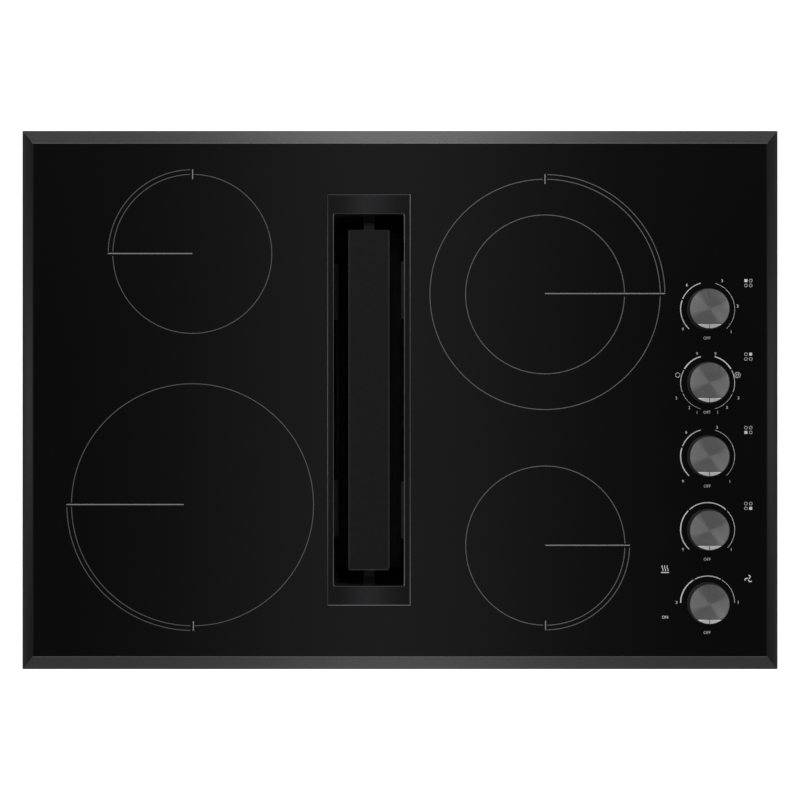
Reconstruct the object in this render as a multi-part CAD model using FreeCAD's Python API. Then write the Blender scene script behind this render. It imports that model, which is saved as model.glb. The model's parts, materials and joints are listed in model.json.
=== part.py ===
import FreeCAD, Part
import math
import os

# Built-in electric glass cooktop with a downdraft vent, in millimetres.
# Origin: middle of the outline, on the countertop. +X right, +Y to the rear, +Z up.

# Outline, seal, bevelled trim and glass
OUTER_WIDTH = 783.6
OUTER_DEPTH = 558.6
SEAL_THICK = 1.5
SEAL_INSET = 3.0
SEAL_WIDTH = 9.0
TRIM_LIP = 1.1
BEVEL_WIDTH = 12.0
LONG_BEVEL_WIDTH = 13.7
SHELF_WIDTH = 14.0
SHELF_THICK = 1.5
BEAD_THICK = 1.0
BEAD_INSET = 3.0
BEAD_WIDTH = 8.0
GLASS_THICK = 4.0
GLASS_GAP = 0.3
SHAFT_HOLE_R = 6.0

# Burner box
BOX_SHEET = 0.9
BOX_DEPTH = 71.0
BOX_FLANGE = 12.0
BOX_HOLE_GAP = 1.0
STUD_HOLE_GAP = 0.5
COOLING_SLOT_LENGTH = 44.0
COOLING_SLOT_WIDTH = 4.0
COOLING_SLOT_PITCH = 12.0
COOLING_SLOT_COUNT = 5
WIRE_HOLE_R = 9.0

# Vent slot, its trim and the lift-off cover
VENT_X = -32.2
SLOT_WIDTH = 74.0
SLOT_EDGE_GAP = 86.5
SLOT_CORNER = 3.0
VENT_TRIM_SIDE = 6.1
VENT_TRIM_END = 20.2
VENT_TRIM_THICK = 1.2
VENT_TRIM_EDGE = 0.5
VENT_WALL = 1.2
VENT_WALL_DEPTH = 22.0
VENT_WALL_GAP = 0.4
LEDGE_DEPTH = 15.0
LEDGE_WIDTH = 12.0
LEDGE_REACH = 14.0
COVER_SIDE_GAP = 15.95
COVER_END_GAP = 16.6
COVER_CORNER = 2.3
COVER_SHEET = 1.2
COVER_SKIRT = 9.0
COVER_DROP = 0.3
FOOT_WIDTH = 10.4
FOOT_REACH = 7.6
FOOT_THICK = 2.0
MOVING_GAP = 0.3

# Downdraft chamber and grease filter
CHAMBER_SHEET = 1.0
CHAMBER_GAP = 0.6
CHAMBER_SIDE_FLANGE = 6.0
CHAMBER_END_FLANGE = 10.0
CHAMBER_COLLAR = 12.0
CHAMBER_STRAIGHT = 126.0
CHAMBER_HEIGHT = 345.0
CHAMBER_FOOT_LENGTH = 250.0
COLLAR_SCREW_SHARE = 0.75
FILTER_WIDTH = 96.0
FILTER_END_GAP = 17.8
FILTER_THICK = 9.0
FILTER_BORDER = 9.0
FILTER_GROOVE = 3.0
FILTER_SHEET = 1.2
FILTER_TILT = 52.0
FILTER_TOP_DROP = 34.0
FILTER_TAB_LENGTH = 60.0

# Radiant elements under the glass
LARGE_PAN_SHARE = 0.535
DUAL_PAN_SHARE = 0.51
SMALL_ZONE_SHARE = 0.69
LEFT_WALL_GAP = 15.0
LEFT_ZONE_GAP = 2.7
RIGHT_ZONE_GAP = 8.0
CONTROL_ZONE_GAP = 15.6
REAR_LEFT_EDGE_GAP = 9.4
FRONT_LEFT_EDGE_GAP = 9.1
REAR_RIGHT_EDGE_GAP = 14.4
FRONT_RIGHT_EDGE_GAP = 10.2
PAN_MARGIN = 9.0
PAN_SHEET = 0.6
PAN_DEPTH = 28.0
PAN_RIM_DROP = 1.0
PAN_FIT = 0.2
INSULATION_BASE = 12.0
DIVIDER_WALL = 5.0
RIBBON_THICK = 0.8
RIBBON_HEIGHT = 5.0
RIBBON_START_R = 16.0
RIBBON_EDGE_GAP = 9.0
RIBBON_TURNS = 3
RIBBON_BENDS = 8
REAR_LIMITER_ANGLE = 225.0
FRONT_LIMITER_ANGLE = 135.0
LIMITER_R = 2.4
LIMITER_CLEAR = 0.6
LIMITER_HEAD = 15.0
LIMITER_HEAD_WIDTH = 20.0
LIMITER_HEAD_HEIGHT = 13.0
RAIL_WIDTH = 26.0
RAIL_SHEET = 1.2
RAIL_LIP = 7.0
RAIL_FOOT = 13.0
RAIL_END_GAP = 6.0
SPRING_RISE = 15.0
SPRING_SPAN_SHARE = 0.729
SPRING_WIDTH = 12.0
SPRING_SHEET = 0.9
SPRING_PLACE_SHARE = 0.5

# Controls down the right side, from the rear
CONTROLS = ["rear_left", "rear_right", "front_left", "front_right", "fan"]
CONTROL_COUNT = len(CONTROLS)
CONTROL_SIDE_GAP = 73.0
CONTROL_FRONT_GAP = 68.9
CONTROL_PITCH = 76.1
BRACKET_DROP = 12.0
BRACKET_SHEET = 1.5
BRACKET_REACH = 25.0
BRACKET_END = 32.0
BRACKET_FOOT = 14.0
TONGUE_WIDTH = 32.0
SWITCH_SIZE = 38.0
FAN_SWITCH_SIZE = 32.0
SWITCH_HEIGHT = 34.0
SWITCH_FLOOR = 2.5
SWITCH_ROOF = 12.5
BUSH_R = 5.0
BUSH_HEIGHT = 6.0
BUSH_HOLE_GAP = 0.2
CAVITY_R = 13.0
CAM_R = 12.5
CAM_HEIGHT = 8.0
CAM_NOTCH_R = 2.5
TAB_WIDTH = 6.3
TAB_THICK = 0.8
TAB_LENGTH = 8.0
SHAFT_R = 3.0
SHAFT_FLAT = 0.7
SHAFT_FIT = 0.05
SHAFT_TAIL = 3.5
PUSH_TRAVEL = 2.5
KNOB_R = 20.6
KNOB_HEIGHT = 27.0
KNOB_CLEARANCE = 0.7
KNOB_WALL = 2.2
KNOB_FOOT_REACH = 1.0
KNOB_FOOT_THICK = 1.4
KNOB_ROOF = 3.0
KNOB_HUB_R = 6.5
KNOB_HUB_RISE = 2.0
SHAFT_TOP_GAP = 1.5
CAP_THICK = 3.0
CAP_EDGE = 0.5
CAP_CHORD = 15.2
CAP_RAMP_DROP = 1.4
CAP_LINE_WIDTH = 0.6
CAP_LINE_DEPTH = 0.35
LAMP_X_INSET = 44.2
LAMP_LENS_R = 2.8
LAMP_COLLAR_R = 4.5
LAMP_COLLAR_HEIGHT = 3.0
LAMP_TAIL = 12.0
HOT_LAMP_SHIFT = 35.0
ON_LAMP_SHIFT = 14.6

# Supply box below the burner box
SUPPLY_SIDE_GAP = 48.8
SUPPLY_REAR_GAP = 39.3
SUPPLY_WIDTH = 110.0
SUPPLY_DEPTH = 84.0
SUPPLY_HEIGHT = 44.0
SUPPLY_SHEET = 1.0
SUPPLY_EAR = 10.0
KNOCKOUT_R = 11.1
BLOCK_LENGTH = 62.0
BLOCK_WIDTH = 24.0
BLOCK_HEIGHT = 12.0
BLOCK_RIB = 6.0
BLOCK_RIB_THICK = 2.0
BLOCK_RIB_COUNT = 4

# Blower
BLOWER_DROP = 240.0
WHEEL_R = 95.0
WHEEL_WIDTH = 62.0
WHEEL_PLATE = 1.2
WHEEL_EYE_R = 77.0
HUB_R = 12.0
HUB_LENGTH = 26.0
BLADE_COUNT = 30
BLADE_ARC_R = 12.5
BLADE_ARC_SHIFT = 5.0
BLADE_THICK = 0.9
SCROLL_GAP = 9.0
SCROLL_GROWTH = 13.7
SCROLL_SHEET = 1.0
SCROLL_WIDTH = 85.0
OUTLET_WIDTH = 103.0
OUTLET_DROP = 168.0
OUTLET_FLANGE = 10.0
INLET_GAP = 1.5
INLET_FLANGE_R = 92.0
INLET_HOLE_R = 80.0
INLET_THROAT_R = 72.0
INLET_ROUND_R = 8.0
INLET_SHEET = 1.0
MOTOR_HOLE_GAP = 6.0
MOTOR_PLATE_LAP = 9.0
MOTOR_PLATE_THICK = 2.0
MOTOR_R = 50.0
MOTOR_LENGTH = 46.0
MOTOR_FIN_COUNT = 30
MOTOR_FIN_START = 8.0
MOTOR_FIN_LENGTH = 28.0
MOTOR_FIN_DEPTH = 2.6
MOTOR_GROOVE_WIDTH = 4.2
BELL_R = 40.0
BELL_LENGTH = 14.0
BELL_NOSE_SHARE = 0.75
BOSS_R = 12.0
BOSS_LENGTH = 7.0
MOTOR_SHAFT_R = 4.0
SHAFT_PASS_R = 6.0
COLLAR_R = 76.0
COLLAR_LENGTH = 34.0
COLLAR_SHEET = 0.9
COLLAR_LIP = 6.0
CAPACITOR_SHIFT = 40.0
CAPACITOR_R = 18.0
CAPACITOR_LENGTH = 62.0
CAPACITOR_STUD_R = 4.0
CAPACITOR_STUD = 8.0

# Hold-down brackets and screws
HOLD_DOWN_X = 220.0
HOLD_DOWN_WIDTH = 30.0
HOLD_DOWN_SHEET = 2.0
HOLD_DOWN_REACH = 21.0
HOLD_DOWN_RISE = 30.0
HOLD_DOWN_DROP = 62.0
HOLD_DOWN_HOLE_SHARE = 0.68
HOLD_DOWN_SCREW_SHIFT = 10.0
CLAMP_R = 3.0
CLAMP_POINT_R = 2.4
CLAMP_POINT_LENGTH = 8.0
CLAMP_TOP_DROP = 41.0
CLAMP_TAIL = 6.0
CLAMP_HEAD_R = 6.0
CLAMP_HEAD = 4.0
SCREW_R = 1.9
SCREW_LENGTH = 6.0
SCREW_HEAD_R = 3.6
SCREW_HEAD = 2.2
SCREW_HOLE_GAP = 0.15

OVERRUN = 2.0
FULL_TURN = 360.0

# Heights that the pieces share
trim_bottom = SEAL_THICK
shelf_top = trim_bottom + SHELF_THICK
glass_bottom = shelf_top + BEAD_THICK
glass_top_z = glass_bottom + GLASS_THICK
box_flange_bottom = trim_bottom - BOX_SHEET
box_bottom = trim_bottom - BOX_DEPTH
box_floor = box_bottom + BOX_SHEET
vent_trim_top = glass_top_z + VENT_TRIM_THICK
ledge_top = glass_top_z - LEDGE_DEPTH
cover_top = vent_trim_top - COVER_DROP
chamber_top = shelf_top
chamber_bottom = chamber_top - CHAMBER_HEIGHT
pan_top = glass_bottom - PAN_RIM_DROP
pan_bottom = pan_top - PAN_DEPTH
rail_top = pan_bottom - SPRING_RISE
bracket_top = glass_bottom - BRACKET_DROP
switch_top = bracket_top - BRACKET_SHEET
switch_bottom = switch_top - SWITCH_HEIGHT
cavity_roof = switch_top - SWITCH_ROOF
cam_top = cavity_roof - MOVING_GAP
cam_bottom = cam_top - CAM_HEIGHT
shaft_bottom = cam_bottom - SHAFT_TAIL
cavity_floor = switch_bottom + SWITCH_FLOOR
knob_bottom = glass_top_z + PUSH_TRAVEL + KNOB_CLEARANCE
knob_top = knob_bottom + KNOB_HEIGHT - CAP_THICK
blower_z = -BLOWER_DROP

# Plan sizes that the pieces share
trim_width = BEVEL_WIDTH + SHELF_WIDTH
box_half_x = OUTER_WIDTH / 2 - trim_width
box_half_y = OUTER_DEPTH / 2 - trim_width
box_inner_x = box_half_x - BOX_SHEET
box_inner_y = box_half_y - BOX_SHEET
slot_length = OUTER_DEPTH - 2 * SLOT_EDGE_GAP
cover_width = SLOT_WIDTH - 2 * COVER_SIDE_GAP
cover_length = slot_length - 2 * COVER_END_GAP
filter_length = slot_length - 2 * FILTER_END_GAP
chamber_inner_x = SLOT_WIDTH / 2 + VENT_WALL + CHAMBER_GAP
chamber_inner_y = slot_length / 2 + VENT_WALL + CHAMBER_GAP
chamber_outer_x = chamber_inner_x + CHAMBER_SHEET
chamber_outer_y = chamber_inner_y + CHAMBER_SHEET
chamber_flange_x = chamber_outer_x + CHAMBER_SIDE_FLANGE
chamber_flange_y = chamber_outer_y + CHAMBER_END_FLANGE
scroll_left = VENT_X + chamber_outer_x
scroll_right = scroll_left + SCROLL_WIDTH + 2 * SCROLL_SHEET
scroll_mid = (scroll_left + scroll_right) / 2
inlet_end = scroll_left + SCROLL_SHEET + INLET_ROUND_R
wheel_left = inlet_end + INLET_GAP
wheel_right = wheel_left + WHEEL_WIDTH
motor_hole_r = WHEEL_R + MOTOR_HOLE_GAP
motor_plate_r = motor_hole_r + MOTOR_PLATE_LAP
motor_left = scroll_right + MOTOR_PLATE_THICK
motor_right = motor_left + MOTOR_LENGTH + BELL_LENGTH
control_x = OUTER_WIDTH / 2 - CONTROL_SIDE_GAP
front_control_y = CONTROL_FRONT_GAP - OUTER_DEPTH / 2
rear_control_y = front_control_y + (CONTROL_COUNT - 1) * CONTROL_PITCH
left_room = box_inner_x + VENT_X - chamber_flange_x - LEFT_ZONE_GAP - LEFT_WALL_GAP
right_room = control_x - BRACKET_REACH - CONTROL_ZONE_GAP - VENT_X - chamber_flange_x - RIGHT_ZONE_GAP
large_pan_r = min(left_room / 2, box_inner_y * LARGE_PAN_SHARE)
dual_pan_r = min(right_room / 2, box_inner_y * DUAL_PAN_SHARE)
large_zone_r = large_pan_r - PAN_MARGIN
dual_zone_r = dual_pan_r - PAN_MARGIN
small_zone_r = dual_zone_r * SMALL_ZONE_SHARE
small_pan_r = small_zone_r + PAN_MARGIN
left_zone_x = VENT_X - chamber_flange_x - LEFT_ZONE_GAP - large_pan_r
right_zone_x = VENT_X + chamber_flange_x + RIGHT_ZONE_GAP + dual_pan_r
rear_left_y = box_inner_y - REAR_LEFT_EDGE_GAP - small_pan_r
front_left_y = FRONT_LEFT_EDGE_GAP + large_pan_r - box_inner_y
rear_right_y = box_inner_y - REAR_RIGHT_EDGE_GAP - dual_pan_r
front_right_y = FRONT_RIGHT_EDGE_GAP + small_pan_r - box_inner_y
spring_span = small_zone_r * SPRING_SPAN_SHARE
lamp_x = control_x - LAMP_X_INSET
hot_lamp_y = front_control_y + HOT_LAMP_SHIFT
on_lamp_y = front_control_y - ON_LAMP_SHIFT
bracket_y0 = front_control_y - BRACKET_END
bracket_y1 = rear_control_y + BRACKET_END
bracket_wall_x = control_x + BRACKET_REACH
collar_bottom = box_bottom - CHAMBER_SHEET
supply_bottom = box_bottom - SUPPLY_HEIGHT
supply_x = box_half_x - SUPPLY_SIDE_GAP - SUPPLY_WIDTH / 2
supply_y = box_half_y - SUPPLY_REAR_GAP - SUPPLY_DEPTH / 2
wire_hole_x = supply_x + SUPPLY_WIDTH / 4
capacitor_x = right_zone_x
capacitor_y = rear_right_y + CAPACITOR_SHIFT
outlet_y1 = -(WHEEL_R + SCROLL_GAP + 3 * SCROLL_GROWTH)
outlet_y2 = outlet_y1 + OUTLET_WIDTH
outlet_y = (outlet_y1 + outlet_y2) / 2
outlet_z = blower_z - OUTLET_DROP
outlet_half_x = SCROLL_WIDTH / 2 + SCROLL_SHEET
outlet_half_y = OUTLET_WIDTH / 2 + SCROLL_SHEET
screw_hole_r = SCREW_R + SCREW_HOLE_GAP

# Each heating zone: name, heated radius, middle in plan, side on which its limiter sits,
# and the radius of its inner circuit where it has two
ZONES = [
    ("rear_left", small_zone_r, left_zone_x, rear_left_y, REAR_LIMITER_ANGLE, 0),
    ("front_left", large_zone_r, left_zone_x, front_left_y, FRONT_LIMITER_ANGLE, 0),
    ("rear_right", dual_zone_r, right_zone_x, rear_right_y, REAR_LIMITER_ANGLE, small_zone_r),
    ("front_right", small_zone_r, right_zone_x, front_right_y, FRONT_LIMITER_ANGLE, 0),
]

X_AXIS = FreeCAD.Vector(1, 0, 0)
Y_AXIS = FreeCAD.Vector(0, 1, 0)
Z_AXIS = FreeCAD.Vector(0, 0, 1)


def vec(x, y, z):
    return FreeCAD.Vector(x, y, z)


def block(x0, x1, y0, y1, z0, z1):
    return Part.makeBox(x1 - x0, y1 - y0, z1 - z0, vec(x0, y0, z0))


def centred_block(x, y, half_x, half_y, z0, z1):
    return block(x - half_x, x + half_x, y - half_y, y + half_y, z0, z1)


def rounded_block(x, y, half_x, half_y, corner, z0, z1):
    solid = centred_block(x, y, half_x, half_y, z0, z1)
    upright = [e for e in solid.Edges if abs(e.tangentAt(e.FirstParameter).z) > math.sin(math.pi / 4)]
    return solid.makeFillet(corner, upright)


def ring_block(x, y, outer_x, outer_y, inner_x, inner_y, z0, z1):
    hole = centred_block(x, y, inner_x, inner_y, z0 - OVERRUN, z1 + OVERRUN)
    return centred_block(x, y, outer_x, outer_y, z0, z1).cut(hole)


def rod(r, x, y, z0, z1):
    return Part.makeCylinder(r, z1 - z0, vec(x, y, z0))


def cross_rod(r, x0, x1, y, z):
    return Part.makeCylinder(r, x1 - x0, vec(x0, y, z), X_AXIS)


def prism(points, way):
    """Straight prism on a closed outline, carried along the vector way."""
    return Part.Face(Part.makePolygon(points + [points[0]])).extrude(way)


def turned(points, axis_point, axis):
    """Solid of revolution of a closed outline about a line."""
    return Part.Face(Part.makePolygon(points + [points[0]])).revolve(axis_point, axis, FULL_TURN)


def arc_edge(cy, cz, r, start, end, x):
    """Arc in a plane of constant x, from one angle to the other in degrees from +Y towards +Z."""
    def at(angle):
        return vec(x, cy + r * math.cos(math.radians(angle)), cz + r * math.sin(math.radians(angle)))
    return Part.Arc(at(start), at((start + end) / 2), at(end)).toShape()


def save(name, solids):
    shape = Part.makeCompound(solids) if isinstance(solids, list) else solids
    shape.exportStep("parts/" + name + ".step")


def control_y(number):
    return rear_control_y - CONTROL_PITCH * number


def quarter_turns():
    return [math.radians(angle) for angle in (45, 135, 225, 315)]


# Screws: the place of the head's seat and the way the shank points
def collar_screws():
    x = chamber_outer_x + CHAMBER_COLLAR / 2
    y = chamber_outer_y * COLLAR_SCREW_SHARE
    return [(vec(VENT_X + i * x, j * y, collar_bottom), Z_AXIS) for i in (-1, 1) for j in (-1, 0, 1)]


def bracket_screws():
    x = bracket_wall_x + BRACKET_SHEET + BRACKET_FOOT / 2
    ys = [bracket_y0 + BRACKET_FOOT, (bracket_y0 + bracket_y1) / 2, bracket_y1 - BRACKET_FOOT]
    return [(vec(x, y, box_floor + BRACKET_SHEET), -Z_AXIS) for y in ys]


def supply_screws():
    x = SUPPLY_WIDTH / 2 - SUPPLY_SHEET - SUPPLY_EAR / 2
    return [(vec(supply_x + i * x, supply_y, supply_bottom - SUPPLY_SHEET), Z_AXIS) for i in (-1, 1)]


def inlet_screws():
    r = (INLET_FLANGE_R + INLET_HOLE_R) / 2
    x = VENT_X + chamber_inner_x - INLET_SHEET
    return [(vec(x, r * math.cos(a), blower_z + r * math.sin(a)), X_AXIS) for a in quarter_turns()]


def motor_plate_screws():
    r = motor_plate_r - MOTOR_PLATE_LAP / 2
    return [(vec(motor_left, r * math.cos(a), blower_z + r * math.sin(a)), -X_AXIS) for a in quarter_turns()]


def outlet_screws():
    x = outlet_half_x + OUTLET_FLANGE / 2
    y = outlet_half_y / 2
    z = outlet_z - COLLAR_SHEET
    return [(vec(scroll_mid + i * x, outlet_y + j * y, z), Z_AXIS) for i in (-1, 1) for j in (-1, 1)]


def hold_down_screws():
    y = box_half_y + HOLD_DOWN_SHEET
    z = HOLD_DOWN_RISE * HOLD_DOWN_HOLE_SHARE - HOLD_DOWN_DROP
    xs = [i * HOLD_DOWN_X + k * HOLD_DOWN_SCREW_SHIFT for i in (-1, 1) for k in (-1, 1)]
    return [(vec(x, j * y, z), vec(0, -j, 0)) for x in xs for j in (-1, 1)]


def hex_bar(r, length, place, way):
    """Six-sided bar along one of the three axes, with its corners at the radius r."""
    across = Z_AXIS if abs(way.z) < math.sin(math.pi / 4) else X_AXIS
    other = way.cross(across)
    turns = [math.radians(angle) for angle in (0, 60, 120, 180, 240, 300)]
    corners = [place + across * (r * math.cos(a)) + other * (r * math.sin(a)) for a in turns]
    return prism(corners, way * length)


def screw(place, way):
    """Sheet-metal screw: hexagonal head on its seat, with the threaded shank kept six-sided."""
    head = hex_bar(SCREW_HEAD_R, SCREW_HEAD, place - way * SCREW_HEAD, way)
    return hex_bar(SCREW_R, SCREW_LENGTH, place, way).fuse(head)


def screw_holes(places):
    long = SCREW_LENGTH + OVERRUN
    return [hex_bar(screw_hole_r, 2 * long, place - way * long, way) for place, way in places]


# Trim, glass and seals
def rail_profile(bevel, place):
    """Section of the bevelled trim: upright lip, bevel, then the shelf that carries the glass."""
    rise = [
        (0, trim_bottom),
        (0, trim_bottom + TRIM_LIP),
        (bevel, glass_top_z),
        (bevel, shelf_top),
        (trim_width, shelf_top),
        (trim_width, trim_bottom),
    ]
    return [place(inward, z) for inward, z in rise]


def trim_rail(half_long, half_other, bevel, end_bevel, along_x):
    """One mitred rail of the frame: its section run the full side, cut in plan where the bevels meet."""
    inner = half_long - trim_width
    knee = half_long - end_bevel
    plan = [(-half_long, 0), (half_long, 0), (knee, bevel), (inner, trim_width), (-inner, trim_width),
            (-knee, bevel)]
    rise = Z_AXIS * (glass_top_z - trim_bottom)
    if along_x:
        section = rail_profile(bevel, lambda u, z: vec(-half_long, u - half_other, z))
        bar = prism(section, X_AXIS * 2 * half_long)
        return bar.common(prism([vec(v, u - half_other, trim_bottom) for v, u in plan], rise))
    section = rail_profile(bevel, lambda u, z: vec(u - half_other, -half_long, z))
    bar = prism(section, Y_AXIS * 2 * half_long)
    return bar.common(prism([vec(u - half_other, v, trim_bottom) for v, u in plan], rise))


def make_trim():
    front = trim_rail(OUTER_WIDTH / 2, OUTER_DEPTH / 2, LONG_BEVEL_WIDTH, BEVEL_WIDTH, True)
    left = trim_rail(OUTER_DEPTH / 2, OUTER_WIDTH / 2, BEVEL_WIDTH, LONG_BEVEL_WIDTH, False)
    save("trim_front", front)
    save("trim_rear", front.mirror(vec(0, 0, 0), Y_AXIS))
    save("trim_left", left)
    save("trim_right", left.mirror(vec(0, 0, 0), X_AXIS))


def make_glass():
    half_x = OUTER_WIDTH / 2 - BEVEL_WIDTH - GLASS_GAP
    half_y = OUTER_DEPTH / 2 - LONG_BEVEL_WIDTH - GLASS_GAP
    glass = centred_block(0, 0, half_x, half_y, glass_bottom, glass_top_z)
    hole_x = SLOT_WIDTH / 2 + VENT_WALL + VENT_WALL_GAP
    hole_y = slot_length / 2 + VENT_WALL + VENT_WALL_GAP
    low = glass_bottom - OVERRUN
    high = glass_top_z + OVERRUN
    cuts = [rounded_block(VENT_X, 0, hole_x, hole_y, SLOT_CORNER + VENT_WALL, low, high)]
    cuts += [rod(SHAFT_HOLE_R, control_x, control_y(number), low, high) for number in range(CONTROL_COUNT)]
    save("glass_top", glass.cut(cuts))


def make_seals():
    outer_x = OUTER_WIDTH / 2 - SEAL_INSET
    outer_y = OUTER_DEPTH / 2 - SEAL_INSET
    inner_x = outer_x - SEAL_WIDTH
    inner_y = outer_y - SEAL_WIDTH
    save("counter_seal", ring_block(0, 0, outer_x, outer_y, inner_x, inner_y, 0, trim_bottom))
    edge_x = OUTER_WIDTH / 2 - BEVEL_WIDTH - BEAD_INSET
    edge_y = OUTER_DEPTH / 2 - LONG_BEVEL_WIDTH - BEAD_INSET
    edge = ring_block(0, 0, edge_x, edge_y, edge_x - BEAD_WIDTH, edge_y - BEAD_WIDTH,
                      shelf_top, glass_bottom)
    vent = ring_block(VENT_X, 0, chamber_flange_x, chamber_flange_y, chamber_outer_x, chamber_outer_y,
                      chamber_top, glass_bottom)
    save("glass_adhesive", [edge, vent])


# Burner box
def make_burner_box():
    """Folded tray: flange under the trim, four walls, and a floor that the chamber passes."""
    shell = centred_block(0, 0, box_half_x, box_half_y, box_bottom, trim_bottom)
    inside = centred_block(0, 0, box_inner_x, box_inner_y, box_floor, trim_bottom + OVERRUN)
    flange = ring_block(0, 0, box_half_x + BOX_FLANGE, box_half_y + BOX_FLANGE, box_inner_x, box_inner_y,
                        box_flange_bottom, trim_bottom)
    low = box_bottom - OVERRUN
    high = box_floor + OVERRUN
    hole_x = chamber_outer_x + BOX_HOLE_GAP
    hole_y = chamber_outer_y + BOX_HOLE_GAP
    cuts = [centred_block(VENT_X, 0, hole_x, hole_y, low, high)]
    cuts.append(rod(WIRE_HOLE_R, wire_hole_x, supply_y, low, high))
    cuts.append(rod(CAPACITOR_STUD_R + STUD_HOLE_GAP, capacitor_x, capacitor_y, low, high))
    for row in (-1, 1):
        for number in range(COOLING_SLOT_COUNT):
            x = right_zone_x + (number - (COOLING_SLOT_COUNT - 1) / 2) * COOLING_SLOT_PITCH
            y = row * (box_half_y - COOLING_SLOT_LENGTH)
            cuts.append(centred_block(x, y, COOLING_SLOT_WIDTH / 2, COOLING_SLOT_LENGTH / 2, low, high))
    places = collar_screws() + bracket_screws() + hold_down_screws()
    save("burner_box", shell.cut(inside).fuse(flange).cut(cuts + screw_holes(places)).removeSplitter())


# Vent trim and cover
def make_vent_trim():
    """Flange on the glass, a wall through it, and a small ledge at each end for the cover's feet."""
    flange = rounded_block(VENT_X, 0, SLOT_WIDTH / 2 + VENT_TRIM_SIDE, slot_length / 2 + VENT_TRIM_END,
                           VENT_TRIM_EDGE * 2, glass_top_z, vent_trim_top)
    top = [e for e in flange.Edges if all(abs(v.Z - vent_trim_top) < VENT_TRIM_EDGE for v in e.Vertexes)]
    flange = flange.makeChamfer(VENT_TRIM_EDGE, top)
    wall_bottom = glass_top_z - VENT_WALL_DEPTH
    wall = rounded_block(VENT_X, 0, SLOT_WIDTH / 2 + VENT_WALL, slot_length / 2 + VENT_WALL,
                         SLOT_CORNER + VENT_WALL, wall_bottom, glass_top_z + VENT_TRIM_EDGE)
    slot = rounded_block(VENT_X, 0, SLOT_WIDTH / 2, slot_length / 2, SLOT_CORNER,
                         wall_bottom - OVERRUN, vent_trim_top + OVERRUN)
    frame = flange.fuse(wall).cut(slot)
    for side in (-1, 1):
        wall_y = side * (slot_length / 2 + VENT_WALL / 2)
        tip_y = side * (slot_length / 2 - LEDGE_REACH)
        ledge = centred_block(VENT_X, (wall_y + tip_y) / 2, LEDGE_WIDTH / 2, abs(wall_y - tip_y) / 2,
                              ledge_top - VENT_WALL, ledge_top)
        frame = frame.fuse(ledge)
    save("vent_trim", frame.removeSplitter())


def make_vent_cover():
    """Long lid with folded-down edges, held up by a stepped foot at each end."""
    half_x = cover_width / 2
    half_y = cover_length / 2
    lid = rounded_block(VENT_X, 0, half_x, half_y, COVER_CORNER, cover_top - COVER_SKIRT, cover_top)
    hollow = rounded_block(VENT_X, 0, half_x - COVER_SHEET, half_y - COVER_SHEET, COVER_CORNER - COVER_SHEET,
                           cover_top - COVER_SKIRT - OVERRUN, cover_top - COVER_SHEET)
    lid = lid.cut(hollow)
    foot_bottom = ledge_top + MOVING_GAP
    for side in (-1, 1):
        outline = [
            (half_y - FOOT_THICK, cover_top - COVER_SHEET / 2),
            (half_y - COVER_SHEET / 2, cover_top - COVER_SHEET / 2),
            (half_y - COVER_SHEET / 2, foot_bottom + FOOT_THICK),
            (half_y + FOOT_REACH, foot_bottom + FOOT_THICK),
            (half_y + FOOT_REACH, foot_bottom),
            (half_y - FOOT_THICK, foot_bottom),
        ]
        points = [vec(VENT_X - FOOT_WIDTH / 2, side * y, z) for y, z in outline]
        lid = lid.fuse(prism(points, X_AXIS * FOOT_WIDTH))
    save("vent_cover", lid.removeSplitter())


# Downdraft chamber and its filter
def chamber_outline(x, shrink, top, lift):
    """Tall hopper seen from the side: straight upper part, then drawn in towards its foot."""
    bend = chamber_top - CHAMBER_STRAIGHT
    wide = chamber_outer_y - shrink
    narrow = CHAMBER_FOOT_LENGTH / 2 - shrink
    half = [(wide, top), (wide, bend), (narrow, chamber_bottom + lift)]
    return [vec(x, y, z) for y, z in half] + [vec(x, -y, z) for y, z in reversed(half)]


def filter_corner(across, through):
    """A point of the tilted filter's section: across its width and through its thickness."""
    tilt = math.radians(FILTER_TILT)
    x = VENT_X + across * math.cos(tilt) - through * math.sin(tilt)
    z = filter_mid_z + across * math.sin(tilt) + through * math.cos(tilt)
    return x, z


filter_mid_z = (chamber_top - FILTER_TOP_DROP - FILTER_WIDTH / 2 * math.sin(math.radians(FILTER_TILT))
                - FILTER_THICK / 2 * math.cos(math.radians(FILTER_TILT)))


def filter_slab(width, length, thick):
    w = width / 2
    t = thick / 2
    section = [filter_corner(across, through) for across, through in ((-w, -t), (w, -t), (w, t), (-w, t))]
    return prism([vec(x, -length / 2, z) for x, z in section], Y_AXIS * length)


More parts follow.
